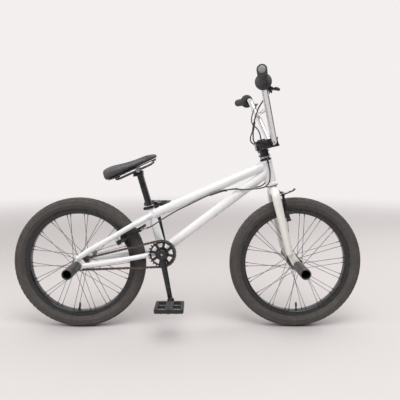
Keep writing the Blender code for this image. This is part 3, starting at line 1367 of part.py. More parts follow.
def build_bottom_bracket():
    """The bearing sleeve in the frame's shell and the spindle with its two spacers."""
    reach = BRACKET_HALF_WIDTH + 3.0
    sleeve_radius = BRACKET_BORE - 1.5 * GAP
    cups = sleeve(BRACKET - LEFT * reach, BRACKET + LEFT * reach, sleeve_radius,
                  around(SPINDLE_RADIUS, 14), sides=14)
    finished(cups, "bottom_bracket", STEEL, frame_carrier)
    ring_face = -CHAIN_LINE - SPROCKET_THICKNESS / 2 - GAP
    near = reach + GAP
    end = CRANK_ROOT_Y + 4.0
    far_face = CRANK_ROOT_Y - CRANK_DEPTH / 2 - 1.2 - GAP
    spindle = joined([
        rod(BRACKET - LEFT * end, BRACKET + LEFT * end, SPINDLE_RADIUS, sides=10),
        rod(BRACKET - LEFT * ring_face, BRACKET - LEFT * near, 15.0, sides=10),
        rod(BRACKET + LEFT * near, BRACKET + LEFT * far_face, 15.0, sides=10)])
    finished(spindle, "crank_spindle", STEEL, crank_axis)


def crank_way(side):
    """The unit vector from the spindle to the pedal axle; the arms are opposite."""
    lean = Vector((math.sin(CRANK_LEAN), 0, -math.cos(CRANK_LEAN)))
    return lean if side < 0 else -lean


def build_crank(side, word):
    """A tapered arm between its spindle boss and the pedal axle that it carries."""
    way = crank_way(side)
    out = LEFT * side
    root = BRACKET + out * CRANK_ROOT_Y
    tip = BRACKET + out * CRANK_TIP_Y + way * CRANK_LENGTH
    across = way.cross(LEFT)
    rings = []
    for share, width in ((0.04, 0.94), (0.2, 0.86), (0.85, 0.74), (0.985, 0.70)):
        middle = root.lerp(tip, share)
        w, d = width * CRANK_WIDTH / 2, 0.9 * CRANK_DEPTH / 2
        ring = [(-w, -0.6 * d), (-0.8 * w, -d), (0.8 * w, -d), (w, -0.6 * d),
                (w, 0.6 * d), (0.8 * w, d), (-0.8 * w, d), (-w, 0.6 * d)]
        rings.append([middle + across * a + out * b for a, b in ring])
    if side < 0:
        inner_face = -CHAIN_LINE + SPROCKET_THICKNESS / 2 + GAP
    else:
        inner_face = CRANK_ROOT_Y - CRANK_DEPTH / 2 - 1.2
    pieces = [
        loft(rings),
        rod(BRACKET + out * inner_face, BRACKET + out * (CRANK_ROOT_Y + 8.5), 19.0,
            sides=14),
        rod(tip - out * 7.5, tip + out * 8.0, 13.5, sides=12),
        rod(tip + out * 6.0, BRACKET + way * CRANK_LENGTH + out * pedal_end(),
            PEDAL_AXLE_RADIUS, sides=8)]
    if side < 0:
        bolt = BRACKET + way * 32.0
        pieces.append(rod(bolt + out * inner_face, bolt + out * (CRANK_ROOT_Y + 4.0),
                          5.0, sides=8))
    arm = cut(joined(pieces), [
        rod(BRACKET, BRACKET + out * (CRANK_ROOT_Y + 4.0 + GAP),
            around(SPINDLE_RADIUS, 12), sides=12)])
    finished(arm, f"{word}_crank", BLACK_METAL, crank_axis)


def pedal_end():
    """How far the pedal's axle reaches from the middle plane."""
    return PEDAL_CENTRE_Y + PEDAL_WIDTH / 2 - 6.0


def build_pedal(side, word):
    """A platform pedal: an open cage round the tube that turns on the axle."""
    out = LEFT * side
    centre = BRACKET + crank_way(side) * CRANK_LENGTH + out * PEDAL_CENTRE_Y
    flat = (1, 0, 0)
    cage = block(centre, (PEDAL_LENGTH, PEDAL_WIDTH, PEDAL_HEIGHT), UP, flat, 4.0)
    windows = []
    for end in (-1, 1):
        middle = centre + Vector((end * 0.255 * PEDAL_LENGTH, 0, 0))
        windows.append(block(middle, (0.27 * PEDAL_LENGTH, PEDAL_WIDTH - 20.0, 40.0),
                             UP, flat))
    bore = rod(centre - out * PEDAL_WIDTH, centre + out * (PEDAL_WIDTH / 2 - 5.0),
               around(PEDAL_AXLE_RADIUS, 8), sides=8)
    axis = pivot_empty(f"{word}_pedal_axis", centre, crank_axis)
    finished(cut(cage, windows + [bore]), f"{word}_pedal", BLACK_METAL, axis)


def build_drive():
    build_bottom_bracket()
    build_sprockets()
    build_chain(frame_carrier)
    for side, word in ((-1, "right"), (1, "left")):
        build_crank(side, word)
        build_pedal(side, word)


build_wheels()
build_frame()
build_headset()
build_fork()
build_stem()
build_handlebar()
build_grip("right_grip", -1)
build_grip("left_grip", 1)
right_mouth, right_way = build_lever(-1, "right")
left_mouth, left_way = build_lever(1, "left")
rotor_base = build_rotor()
rear_mouth, rear_way = build_brake(
    "rear", REAR_PIVOT, STAY_UP, STAY_OUT, REAR_AXLE, frame_carrier,
    Vector((0.93, 0, 0.30)))
front_mouth, front_way = build_brake(
    "front", FRONT_PIVOT, COLUMN, COLUMN_FRONT, FRONT_AXLE, steering,
    COLUMN_FRONT)
build_rotor_cables(right_mouth, right_way, rotor_base, rear_mouth, rear_way)
build_front_cable(left_mouth, left_way, front_mouth, front_way)
build_seat_clamp()
post_carrier = pivot_empty("seatpost_slide", POST_TOP, frame_carrier)
build_seatpost(post_carrier)
saddle_carrier = pivot_empty("saddle_axis", SADDLE_PIVOT, post_carrier)
build_saddle(saddle_carrier)
build_drive()
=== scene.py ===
# %% [markdown]
# A freestyle bicycle, dressed for the studio. Each cell below makes one piece or one
# finish and lays it over that skeleton, so that the model keeps its real sizes and its
# joints while it gains the look of the real thing.

# %% Load the skeleton
import json
import math

import bmesh
import bpy
from mathutils import Matrix, Vector


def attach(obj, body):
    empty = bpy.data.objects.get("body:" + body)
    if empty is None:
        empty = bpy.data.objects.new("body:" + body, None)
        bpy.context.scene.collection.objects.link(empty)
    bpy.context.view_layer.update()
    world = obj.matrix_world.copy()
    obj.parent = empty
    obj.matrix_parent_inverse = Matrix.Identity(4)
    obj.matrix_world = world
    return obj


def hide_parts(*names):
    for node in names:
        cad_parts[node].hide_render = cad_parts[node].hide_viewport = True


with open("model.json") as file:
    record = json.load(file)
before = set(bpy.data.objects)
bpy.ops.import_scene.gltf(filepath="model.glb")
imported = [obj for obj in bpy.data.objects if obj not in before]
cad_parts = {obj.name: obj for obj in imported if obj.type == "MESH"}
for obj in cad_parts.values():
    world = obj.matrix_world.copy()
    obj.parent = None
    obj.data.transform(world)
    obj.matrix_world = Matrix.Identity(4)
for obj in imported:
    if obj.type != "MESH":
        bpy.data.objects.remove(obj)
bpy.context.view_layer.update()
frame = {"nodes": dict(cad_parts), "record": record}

# %% [markdown]
# The camera stands a metre and a half to the right of the bicycle, at the height of its
# saddle, and looks slightly down through a short lens. The shift stays at zero.

# %% Camera
CAMERA_PLACE = (0.044, -1.523, 0.656)
CAMERA_DOWN = math.radians(6.0)
CAMERA_YAW = math.radians(-0.13)
CAMERA_LENS = 36.0

camera_data = bpy.data.cameras.new("studio_camera")
camera_data.lens = CAMERA_LENS
camera_data.sensor_width = 36.0
camera = bpy.data.objects.new("studio_camera", camera_data)
camera.location = CAMERA_PLACE
camera.rotation_euler = (math.pi / 2 - CAMERA_DOWN, 0.0, CAMERA_YAW)
bpy.context.scene.collection.objects.link(camera)
bpy.context.scene.camera = camera
print("camera lens:", CAMERA_LENS, "mm")

# %% [markdown]
# The studio is a pale warm wall behind the bicycle, a darker room behind the camera,
# one large soft light above and two weaker ones beside it. The camera sees only the
# wall. The dark side of the room shows in the chrome and in the black parts, which
# would otherwise look grey, because they mirror whatever stands in front of them. A
# black flag ahead of the bicycle draws a dark line down the edges of bright tubes.

# %% World and lights
WALL_COLOUR = (0.90, 0.865, 0.86, 1.0)
ROOM_COLOUR = (0.20, 0.195, 0.195, 1.0)
ROOM_FADE_START = -0.75
ROOM_FADE_END = 0.45
CEILING_SHARE = 0.45
FLAG_START = 0.40
FLAG_END = 0.80
FLAG_SHARE = 0.12
KEY_WATTS = 74.0
SIDE_WATTS = 24.0


def feed(tree, node, inputs):
    """Sets each input of a node to a value, or links it to another node's output."""
    for label, value in inputs.items():
        if isinstance(value, bpy.types.NodeSocket):
            tree.links.new(value, node.inputs[label])
        else:
            node.inputs[label].default_value = value


def add(tree, kind, inputs=None, **settings):
    """The outputs of a new shader node."""
    node = tree.nodes.new("ShaderNode" + kind)
    for name, value in settings.items():
        setattr(node, name, value)
    feed(tree, node, inputs or {})
    return node.outputs


def ranged(tree, value, low, high, to_low=0.0, to_high=1.0, kind="LINEAR"):
    """A clamped Map Range node. A range end is a number or a socket."""
    ends = {"Value": value, "From Min": low, "From Max": high, "To Min": to_low,
            "To Max": to_high}
    return add(tree, "MapRange", ends, interpolation_type=kind)["Result"]


def maths(tree, operation, *values):
    """A Math node on sockets and numbers."""
    return add(tree, "Math", dict(enumerate(values)), operation=operation)["Value"]


def mixed(tree, share, first, second):
    """A colour between two colours, by a socket that runs from 0 to 1."""
    ends = {"Factor": share, "A": first, "B": second}
    return add(tree, "Mix", ends, data_type="RGBA")["Result"]


def placed(name, data):
    """A new object in the scene."""
    made = bpy.data.objects.new(name, data)
    bpy.context.scene.collection.objects.link(made)
    return made


world = bpy.data.worlds.new("studio")
world.use_nodes = True
sky = world.node_tree
way = add(sky, "SeparateXYZ", {0: add(sky, "TexCoord")["Generated"]})
raised = maths(sky, "MULTIPLY_ADD", way["Z"], CEILING_SHARE, way["Y"])
lit = ranged(sky, raised, ROOM_FADE_START, ROOM_FADE_END, kind="SMOOTHSTEP")
flag = ranged(sky, way["X"], FLAG_START, FLAG_END, 1.0, FLAG_SHARE, "SMOOTHSTEP")
camera_ray = add(sky, "LightPath")["Is Camera Ray"]
feed(sky, sky.nodes["Background"], {
    "Strength": maths(sky, "MAXIMUM", camera_ray, flag),
    "Color": mixed(sky, maths(sky, "MAXIMUM", camera_ray, lit), ROOM_COLOUR,
                   WALL_COLOUR)})
bpy.context.scene.world = world
bpy.context.scene.view_settings.view_transform = "Standard"


def soft_light(name, place, aim, size, watts):
    """A square area light that faces a point."""
    data = bpy.data.lights.new(name, "AREA")
    data.shape = "SQUARE"
    data.size = size
    data.energy = watts
    light = placed(name, data)
    light.location = place
    toward = Vector(aim) - light.location
    light.rotation_euler = toward.to_track_quat("-Z", "Y").to_euler()


soft_light("key_light", (0.3, -1.4, 3.0), (0.0, 0.0, 0.35), 2.2, KEY_WATTS)
soft_light("left_light", (-2.6, -1.0, 1.6), (0.0, 0.0, 0.45), 1.4, SIDE_WATTS)
soft_light("right_light", (2.6, 1.2, 1.8), (0.0, 0.0, 0.45), 1.4, SIDE_WATTS)

# %% [markdown]
# The floor is one pale disc. Its material fades to nothing with distance from the
# bicycle, so that no hard horizon cuts the wall, as on a rolled paper backdrop.

# %% Floor
FLOOR_RADIUS = 9.0
FLOOR_FADE_START = 1.6
FLOOR_FADE_END = 6.0
FLOOR_COLOUR = (0.60, 0.57, 0.568, 1.0)


def meshed(name, shape):
    """A bmesh as a mesh. The bmesh is freed."""
    mesh = bpy.data.meshes.new(name)
    shape.to_mesh(mesh)
    shape.free()
    return mesh


floor_shape = bmesh.new()
bmesh.ops.create_circle(floor_shape, cap_ends=True, segments=96, radius=FLOOR_RADIUS)
floor = placed("floor", meshed("floor", floor_shape))
paper = bpy.data.materials.new("floor_paper")
paper.use_nodes = True
tree = paper.node_tree
away = add(tree, "VectorMath", {0: add(tree, "TexCoord")["Object"]}, operation="LENGTH")
feed(tree, tree.nodes["Principled BSDF"], {
    "Base Color": FLOOR_COLOUR, "Roughness": 0.85,
    "Alpha": ranged(tree, away["Value"], FLOOR_FADE_START, FLOOR_FADE_END, 1.0, 0.0,
                    "SMOOTHSTEP")})
floor.data.materials.append(paper)
print("floor radius:", FLOOR_RADIUS, "m")

# %% [markdown]
# Every finish on the bicycle varies a little over its surface: paint has a faint
# ripple, rubber has dust, metal has fine scratches. These effects are node groups that
# are built once. A group gives out only colours, masks and heights, and the shader
# itself stays in each material.

# %% Shader groups


def new_group(name, inputs, outputs):
    """A shader node group with float or colour sockets, its inputs and its end node."""
    group = bpy.data.node_groups.new(name, "ShaderNodeTree")
    for label, value in inputs.items():
        kind = "NodeSocketFloat" if isinstance(value, float) else "NodeSocketColor"
        made = group.interface.new_socket(name=label, in_out="INPUT", socket_type=kind)
        made.default_value = value
    for label in outputs:
        kind = "NodeSocketColor" if label == "Color" else "NodeSocketFloat"
        group.interface.new_socket(name=label, in_out="OUTPUT", socket_type=kind)
    start = group.nodes.new("NodeGroupInput")
    return group, start.outputs, group.nodes.new("NodeGroupOutput")


def noise(tree, scale, detail):
    """A noise texture that is fixed to the object, with its scale from a socket."""
    spot = add(tree, "TexCoord")["Object"]
    return add(tree, "TexNoise", {"Vector": spot, "Scale": scale, "Detail": detail})["Fac"]


# %% Mottle: two shades, a varying gloss and a fine height
mottle, given, end = new_group(
    "mottle",
    {"Light": (0.5, 0.5, 0.5, 1.0), "Dark": (0.4, 0.4, 0.4, 1.0), "Patch Scale": 30.0,
     "Grain Scale": 900.0, "Smooth": 0.2, "Rough": 0.3}, ["Color", "Roughness", "Height"])
patches = noise(mottle, given["Patch Scale"], 4.0)
share = ranged(mottle, patches, 0.35, 0.65)
feed(mottle, end, {
    "Color": mixed(mottle, share, given["Light"], given["Dark"]),
    "Roughness": ranged(mottle, patches, 0.3, 0.7, given["Smooth"], given["Rough"]),
    "Height": noise(mottle, given["Grain Scale"], 2.0)})

# %% Edge wear: a mask on convex edges, broken up by noise
edge_wear, given, end = new_group(
    "edge_wear", {"Amount": 0.5, "Break Up": 120.0}, ["Mask"])
edges = ranged(edge_wear, add(edge_wear, "NewGeometry")["Pointiness"], 0.53, 0.60)
broken = ranged(edge_wear, noise(edge_wear, given["Break Up"], 5.0), 0.42, 0.62)
mask = maths(edge_wear, "MULTIPLY", edges, broken)
feed(edge_wear, end, {"Mask": maths(edge_wear, "MULTIPLY", mask, given["Amount"])})

# %% Dust: a mask that gathers on faces that look up
dust, given, end = new_group("dust", {"Amount": 0.3, "Patch Scale": 60.0}, ["Mask"])
facing = add(dust, "SeparateXYZ", {0: add(dust, "NewGeometry")["Normal"]})
upward = ranged(dust, facing["Z"], 0.0, 1.0, 0.15, 1.0)
clouds = ranged(dust, noise(dust, given["Patch Scale"], 6.0), 0.40, 0.75)
mask = maths(dust, "MULTIPLY", upward, clouds)
feed(dust, end, {"Mask": maths(dust, "MULTIPLY", mask, given["Amount"])})

# %% Hide grain: the small cells of a grained vinyl
hide_grain, given, end = new_group("hide_grain", {"Cell Scale": 700.0}, ["Height"])
spot = add(hide_grain, "TexCoord")["Object"]
cells = add(hide_grain, "TexVoronoi", {"Vector": spot, "Scale": given["Cell Scale"]},
            feature="SMOOTH_F1")
feed(hide_grain, end, {"Height": ranged(hide_grain, cells["Distance"], 0.1, 0.7, 1.0, 0.0)})
print("shader groups:", sorted(g.name for g in bpy.data.node_groups))

# %% [markdown]
# A finish is a recipe: two close shades, how glossy it is at its smoothest and its
# roughest, how deep its grain is, how much bare metal shows on its edges and how much
# dust lies on it. One function turns a recipe into a material, so that every finish
# has all of these effects at its own scale.

# %% Finishes
FINISHES = {}
BUMP_DISTANCE = 0.0004
COAT_ROUGHNESS = 0.06


def finish(name, light, dark, smooth, rough, metallic=0.0, coat=0.0, patch=30.0,
           grain=900.0, depth=0.05, wear=0.0, bare=(0.55, 0.55, 0.56), dusty=0.0,
           dust_colour=(0.5, 0.47, 0.44), hide=0.0, shine=0.5):
    """Makes a Principled material from the shader groups, and adds it to FINISHES."""
    made = bpy.data.materials.new(name)
    made.use_nodes = True
    tree = made.node_tree
    recipe = {"Light": (*light, 1.0), "Dark": (*dark, 1.0), "Patch Scale": patch,
              "Grain Scale": grain, "Smooth": smooth, "Rough": rough}
    base = add(tree, "Group", recipe, node_tree=mottle)
    colour, height = base["Color"], base["Height"]
    if wear:
        mask = add(tree, "Group", {"Amount": wear}, node_tree=edge_wear)["Mask"]
        colour = mixed(tree, mask, colour, (*bare, 1.0))
    if dusty:
        mask = add(tree, "Group", {"Amount": dusty}, node_tree=dust)["Mask"]
        colour = mixed(tree, mask, colour, (*dust_colour, 1.0))
    if hide:
        height = add(tree, "Group", {"Cell Scale": hide}, node_tree=hide_grain)["Height"]
    bump = add(tree, "Bump", {"Strength": depth, "Distance": BUMP_DISTANCE,
                              "Height": height})
    feed(tree, tree.nodes["Principled BSDF"], {
        "Base Color": colour, "Roughness": base["Roughness"], "Normal": bump["Normal"],
        "Metallic": metallic, "Coat Weight": coat, "Coat Roughness": COAT_ROUGHNESS,
        "Specular IOR Level": shine})
    FINISHES[name] = made


finish("white_paint", (0.87, 0.87, 0.875), (0.84, 0.84, 0.845), 0.16, 0.24, coat=0.6,
       grain=260.0, depth=0.04, dusty=0.04)
finish("cream_paint", (0.85, 0.83, 0.78), (0.82, 0.80, 0.75), 0.16, 0.24, coat=0.6,
       grain=260.0, depth=0.04, dusty=0.05)
finish("chrome", (0.80, 0.80, 0.81), (0.74, 0.745, 0.755), 0.06, 0.13, metallic=1.0,
       patch=70.0, grain=1600.0, depth=0.02)
finish("black_paint", (0.012, 0.012, 0.013), (0.018, 0.018, 0.019), 0.22, 0.32, coat=0.2,
       wear=0.12, dusty=0.02, shine=0.4)
finish("black_alloy", (0.016, 0.016, 0.017), (0.024, 0.024, 0.025), 0.28, 0.40,
       metallic=0.3, grain=1500.0, depth=0.08, wear=0.18, dusty=0.02, shine=0.4)
finish("steel", (0.48, 0.485, 0.49), (0.38, 0.385, 0.39), 0.26, 0.40, metallic=1.0,
       patch=120.0, grain=2200.0)
finish("dark_steel", (0.075, 0.072, 0.070), (0.11, 0.105, 0.10), 0.30, 0.46,
       metallic=0.85, patch=90.0, grain=1800.0, depth=0.06, wear=0.3)
finish("chain_steel", (0.10, 0.085, 0.07), (0.16, 0.14, 0.12), 0.28, 0.48, metallic=0.9,
       patch=240.0, grain=2400.0, depth=0.08, wear=0.4, bare=(0.4, 0.37, 0.33))
finish("grip_rubber", (0.040, 0.039, 0.040), (0.060, 0.058, 0.058), 0.62, 0.80,
       grain=1400.0, depth=0.20, dusty=0.12)
finish("pad_rubber", (0.028, 0.028, 0.028), (0.040, 0.040, 0.040), 0.65, 0.82,
       grain=1400.0, depth=0.20, dusty=0.10)
finish("tyre", (0.058, 0.052, 0.049), (0.082, 0.074, 0.069), 0.72, 0.90, patch=45.0,
       grain=1300.0, depth=0.30, dusty=0.22, dust_colour=(0.30, 0.27, 0.25))
finish("cable_housing", (0.026, 0.026, 0.028), (0.036, 0.036, 0.038), 0.34, 0.46,
       coat=0.2, grain=1500.0)
finish("black_plastic", (0.018, 0.018, 0.019), (0.026, 0.026, 0.027), 0.38, 0.52,
       grain=2000.0, depth=0.12, dusty=0.04, shine=0.4)
finish("vinyl", (0.052, 0.052, 0.054), (0.070, 0.070, 0.072), 0.42, 0.58, depth=0.35,
       dusty=0.08, hide=620.0)
finish("pale_plug", (0.27, 0.262, 0.26), (0.21, 0.205, 0.20), 0.40, 0.55, grain=1200.0,
       depth=0.10, dusty=0.10)
print("finishes:", len(FINISHES))

# %% [markdown]
# Every solid of the skeleton takes the finish that the record names for it, so that
# none is left bare under the modelled pieces that stand in for it below.

# %% Finish on the solids
for row in frame["record"]["subparts"]:
    solid = frame["nodes"][row["node"]]
    solid.data.materials.clear()
    solid.data.materials.append(FINISHES[row["material_slot"]])

# %% [markdown]
# All new pieces are modelled in millimetres, because that is how bicycle parts are
# measured, and are turned into metres when they are finished. The places and angles
# here repeat the ones that the skeleton was built from, so nothing needs fitting.

# %% Places and directions
MM = 0.001
GAP = 0.3
UP = Vector((0, 0, 1))
LEFT = Vector((0, 1, 0))
FORWARD = Vector((1, 0, 0))
SIDES = (("right", -1), ("left", 1))
WHEELBASE = 830.0
AXLE_Z = 253.0
HEAD_ANGLE = math.radians(76.0)
SEAT_ANGLE = math.radians(74.0)
REAR_AXLE = Vector((-WHEELBASE / 2, 0, AXLE_Z))
FRONT_AXLE = Vector((WHEELBASE / 2, 0, AXLE_Z))
BRACKET = Vector((-95.7, 0, 297.0))
HEAD_FOOT = Vector((320.6, 0, 552.5))
COLUMN = Vector((-math.cos(HEAD_ANGLE), 0, math.sin(HEAD_ANGLE)))
COLUMN_FRONT = Vector((math.sin(HEAD_ANGLE), 0, math.cos(HEAD_ANGLE)))
SEAT_LINE = Vector((-math.cos(SEAT_ANGLE), 0, math.sin(SEAT_ANGLE)))
SEAT_FRONT = Vector((math.sin(SEAT_ANGLE), 0, math.cos(SEAT_ANGLE)))


def steer_point(s, f=0.0, y=0.0):
    """A point s up the steering column from the head tube's foot, f in front of it."""
    return HEAD_FOOT + COLUMN * s + COLUMN_FRONT * f + LEFT * y


def seat_point(t, f=0.0, y=0.0):
    """A point t up the seat tube from the bottom bracket, f in front of it."""
    return BRACKET + SEAT_LINE * t + SEAT_FRONT * f + LEFT * y


print("column foot:", tuple(HEAD_FOOT), "bottom bracket:", tuple(BRACKET))

# %% [markdown]
# Most parts of a bicycle come off a lathe, so the first tool turns a profile about an
# axis. A real turned edge is never quite sharp, so a second tool rounds the corners of
# a profile before it is spun, which lets each edge catch a line of light.

# %% Turning tools


def placing(at, along, side=None):
    """A matrix whose Z runs along a direction, with X as near as can be to side."""
    z = Vector(along).normalized()
    near = Vector(side) if side is not None else (LEFT if abs(z.y) < 0.9 else UP)
    x = (near - z * near.dot(z)).normalized()
    y = z.cross(x)
    turn = Matrix((x, y, z)).transposed().to_4x4()
    return Matrix.Translation(Vector(at)) @ turn


def softened(profile, amount=0.5, closed=False, steps=2):
    """A profile with each corner cut back by an amount and rounded."""
    points = [Vector(p) for p in profile]
    count = len(points)
    soft = []
    for i, here in enumerate(points):
        if not closed and i in (0, count - 1):
            soft.append(here)
            continue
        before, after = points[i - 1], points[(i + 1) % count]
        back = min(amount, 0.45 * (before - here).length)
        on = min(amount, 0.45 * (after - here).length)
        first = here + (before - here).normalized() * back
        last = here + (after - here).normalized() * on
        for k in range(steps + 1):
            t = k / steps
            soft.append(first * (1 - t) ** 2 + here * (2 * t * (1 - t)) + last * t ** 2)
    return [tuple(p) for p in soft]


def spun(profile, at, along, steps=48, closed=False):
    """A profile of (radius, height) turned all the way round an axis."""
    bm = bmesh.new()
    points = [bm.verts.new((r, 0.0, h)) for r, h in profile]
    pairs = list(zip(points, points[1:]))
    if closed:
        pairs.append((points[-1], points[0]))
    lines = [bm.edges.new(pair) for pair in pairs]
    bmesh.ops.spin(
        bm, geom=points + lines, axis=(0, 0, 1), cent=(0, 0, 0), angle=2 * math.pi,
        steps=steps, use_merge=True)
    bmesh.ops.remove_doubles(bm, verts=bm.verts, dist=0.001)
    bmesh.ops.recalc_face_normals(bm, faces=bm.faces)
    bmesh.ops.transform(bm, matrix=placing(at, along), verts=bm.verts)
    return bm


def turned(profile, at, along, soft=0.5, steps=48):
    """A closed profile with softened corners, turned round an axis."""
    return spun(softened(profile, soft, closed=True), at, along, steps, closed=True)


def rod(start, end, radius, end_radius=None, sides=24, soft=0.4):
    """A round bar or cone between two points, with softened ends."""
    start, end = Vector(start), Vector(end)
    tip = radius if end_radius is None else end_radius
    length = (end - start).length
    profile = [(0.0, 0.0), (radius, 0.0), (tip, length), (0.0, length)]
    return spun(softened(profile, soft), start, end - start, sides)


def ring(start, end, radius, bore, sides=48, soft=0.4):
    """A tube with an open bore and softened rims."""
    start, end = Vector(start), Vector(end)
    length = (end - start).length
    profile = [(bore, 0.0), (radius, 0.0), (radius, length), (bore, length)]
    return turned(profile, start, end - start, soft, sides)


print("turning tools are ready")

# %% [markdown]
# Tubes that bend are swept along a path, flat parts are cut from an outline, and
# forged arms are bridged through a row of cross-sections. Fasteners come last: a hex
# nut is a bevelled six-sided bar, and a bolt head has a socket in its face.

# %% Sweeping, plate and forging tools


def evaluated(obj):
    """The mesh that an object's curve or modifiers give."""
    bpy.context.view_layer.update()
    graph = bpy.context.evaluated_depsgraph_get()
    return bpy.data.meshes.new_from_object(obj.evaluated_get(graph))


def from_curve(curve):
    """The mesh of a curve as a bmesh, with its doubles merged."""
    holder = placed("holder", curve)
    mesh = evaluated(holder)
    bpy.data.objects.remove(holder)
    bpy.data.curves.remove(curve)
    bm = bmesh.new()
    bm.from_mesh(mesh)
    bpy.data.meshes.remove(mesh)
    bmesh.ops.remove_doubles(bm, verts=bm.verts, dist=0.001)
    bmesh.ops.recalc_face_normals(bm, faces=bm.faces)
    return bm


def tube(points, radii, smoothness=4, cyclic=False):
    """A round tube along a list of points, with one radius or one for each point."""
    if not isinstance(radii, (list, tuple)):
        radii = [radii] * len(points)
    curve = bpy.data.curves.new("tube", "CURVE")
    curve.dimensions = "3D"
    curve.bevel_depth = 1.0
    curve.bevel_resolution = smoothness
    curve.use_fill_caps = True
    spline = curve.splines.new("POLY")
    spline.points.add(len(points) - 1)
    for knot, point, radius in zip(spline.points, points, radii):
        knot.co = (*Vector(point), 1.0)
        knot.radius = radius
    spline.use_cyclic_u = cyclic
    return from_curve(curve)


def plate(outlines, thickness, at, along, side=None, soft=0.3):
    """A flat plate with rounded edges from outlines of (x, y), holes after the first."""
    curve = bpy.data.curves.new("plate", "CURVE")
    curve.dimensions = "2D"
    curve.fill_mode = "BOTH"
    curve.extrude = thickness / 2 - soft
    curve.bevel_depth = soft
    curve.bevel_resolution = 1
    curve.offset = -soft
    for outline in outlines:
        spline = curve.splines.new("POLY")
        spline.points.add(len(outline) - 1)
        for knot, (x, y) in zip(spline.points, outline):
            knot.co = (x, y, 0.0, 1.0)
        spline.use_cyclic_u = True
    bm = from_curve(curve)
    bmesh.ops.transform(bm, matrix=placing(at, along, side), verts=bm.verts)
    return bm


def block(centre, size, along=UP, side=None, soft=1.0, segments=2):
    """A box with rounded edges: size is (along side, across, along)."""
    bm = bmesh.new()
    bmesh.ops.create_cube(bm, size=1.0)
    bmesh.ops.scale(bm, vec=size, verts=bm.verts)
    bmesh.ops.bevel(
        bm, geom=bm.edges[:], offset=soft, segments=segments, profile=0.5,
        affect="EDGES", material=-1)
    bmesh.ops.transform(bm, matrix=placing(centre, along, side), verts=bm.verts)
    return bm


def forged(rings):
    """A closed skin bridged through rings of points, each with the same count."""
    bm = bmesh.new()
    loops = []
    for ring_points in rings:
        verts = [bm.verts.new(p) for p in ring_points]
        loops.append([bm.edges.new((a, b)) for a, b in zip(verts, verts[1:] + verts[:1])])
        if ring_points is rings[0] or ring_points is rings[-1]:
            bm.faces.new(verts)
    for first, second in zip(loops, loops[1:]):
        bmesh.ops.bridge_loops(bm, edges=first + second)
    bmesh.ops.recalc_face_normals(bm, faces=bm.faces)
    return bm


def oval(centre, across, out, half_width, half_depth, count=16, power=2.6):
    """A ring of points on a rounded rectangle."""
    points = []
    for i in range(count):
        angle = 2 * math.pi * i / count
        c, s = math.cos(angle), math.sin(angle)
        a = math.copysign(abs(c) ** (2 / power), c) * half_width
        b = math.copysign(abs(s) ** (2 / power), s) * half_depth
        points.append(Vector(centre) + Vector(across) * a + Vector(out) * b)
    return points


def hex_nut(at, along, across_flats, height, soft=0.5):
    """A six-sided nut or bolt head with bevelled edges."""
    bm = bmesh.new()
    bmesh.ops.create_cone(
        bm, cap_ends=True, segments=6, radius1=across_flats / math.sqrt(3),
        radius2=across_flats / math.sqrt(3), depth=height)
    bmesh.ops.bevel(
        bm, geom=bm.edges[:], offset=soft, segments=2, profile=0.5, affect="EDGES",
        material=-1)
    middle = Vector(at) + Vector(along).normalized() * height / 2
    bmesh.ops.transform(bm, matrix=placing(middle, along), verts=bm.verts)
    return bm


def bolt_head(at, along, radius, height):
    """A round bolt head with a socket sunk in its face."""
    profile = [(0.0, 0.35 * height), (0.48 * radius, 0.35 * height),
               (0.48 * radius, height), (radius, height), (radius, 0.0), (0.0, 0.0)]
    return spun(softened(profile, 0.12 * radius), at, along, 24)


print("sweeping and plate tools are ready")

# %% [markdown]
# Two more tools make paths. One draws a smooth route through a few chosen points, as a
# cable lies. The other bends straight runs with arcs, as a tube bender does.

# %% Path tools


def smooth_route(points, spacing):
    """Points at about even spacing on a smooth curve through the chosen points."""
    knots = [Vector(p) for p in points]
    knots = [2 * knots[0] - knots[1]] + knots + [2 * knots[-1] - knots[-2]]
    fine = []
    for a, b, c, d in zip(knots, knots[1:], knots[2:], knots[3:]):
        steps = max(2, round((c - b).length / 2))
        for i in range(steps):
            t = i / steps
            fine.append(
                0.5 * (2 * b + (c - a) * t + (2 * a - 5 * b + 4 * c - d) * t ** 2
                       + (3 * b - a - 3 * c + d) * t ** 3))
    fine.append(knots[-2])
    total = sum((q - p).length for p, q in zip(fine, fine[1:]))
    count = max(2, round(total / spacing))
    kept = [fine[0]]
    gone = 0.0
    for p, q in zip(fine, fine[1:]):
        gone += (q - p).length
        if gone >= len(kept) * total / count and len(kept) < count:
            kept.append(q)
    return kept + [fine[-1]]


def bent_route(points, radii, steps=8):
    """A path of straight runs with an arc of the given radius at each inner corner."""
    path = [Vector(points[0])]
    for before, corner, after, radius in zip(points, points[1:], points[2:], radii):
        before, corner, after = Vector(before), Vector(corner), Vector(after)
        a = (before - corner).normalized()
        b = (after - corner).normalized()
        half = a.angle(b) / 2
        reach = radius / math.tan(half)
        centre = corner + (a + b).normalized() * radius / math.sin(half)
        first = corner + a * reach - centre
        last = corner + b * reach - centre
        whole = first.angle(last)
        for i in range(steps + 1):
            share = i / steps
            path.append(
                centre + first * (math.sin((1 - share) * whole) / math.sin(whole))
                + last * (math.sin(share * whole) / math.sin(whole)))
    path.append(Vector(points[-1]))
    return path


print("path tools are ready")

# %% [markdown]
# The last tool finishes a piece. It joins the shapes, turns millimetres into metres,
# shades smooth faces smooth and leaves real edges sharp, gives the finish, and hangs
# the piece on the body that carries it.

# %% Finishing tool


def wiped(*shapes):
    """One bmesh that holds all the given shapes, which are freed."""
    whole = bmesh.new()
    for shape in shapes:
        mesh = meshed("shape", shape)
        whole.from_mesh(mesh)
        bpy.data.meshes.remove(mesh)
    return whole


def in_metres(name, shape):
    """A bmesh in millimetres as an object in metres."""
    bmesh.ops.scale(shape, vec=(MM, MM, MM), verts=shape.verts)
    return placed(name, meshed(name, shape))


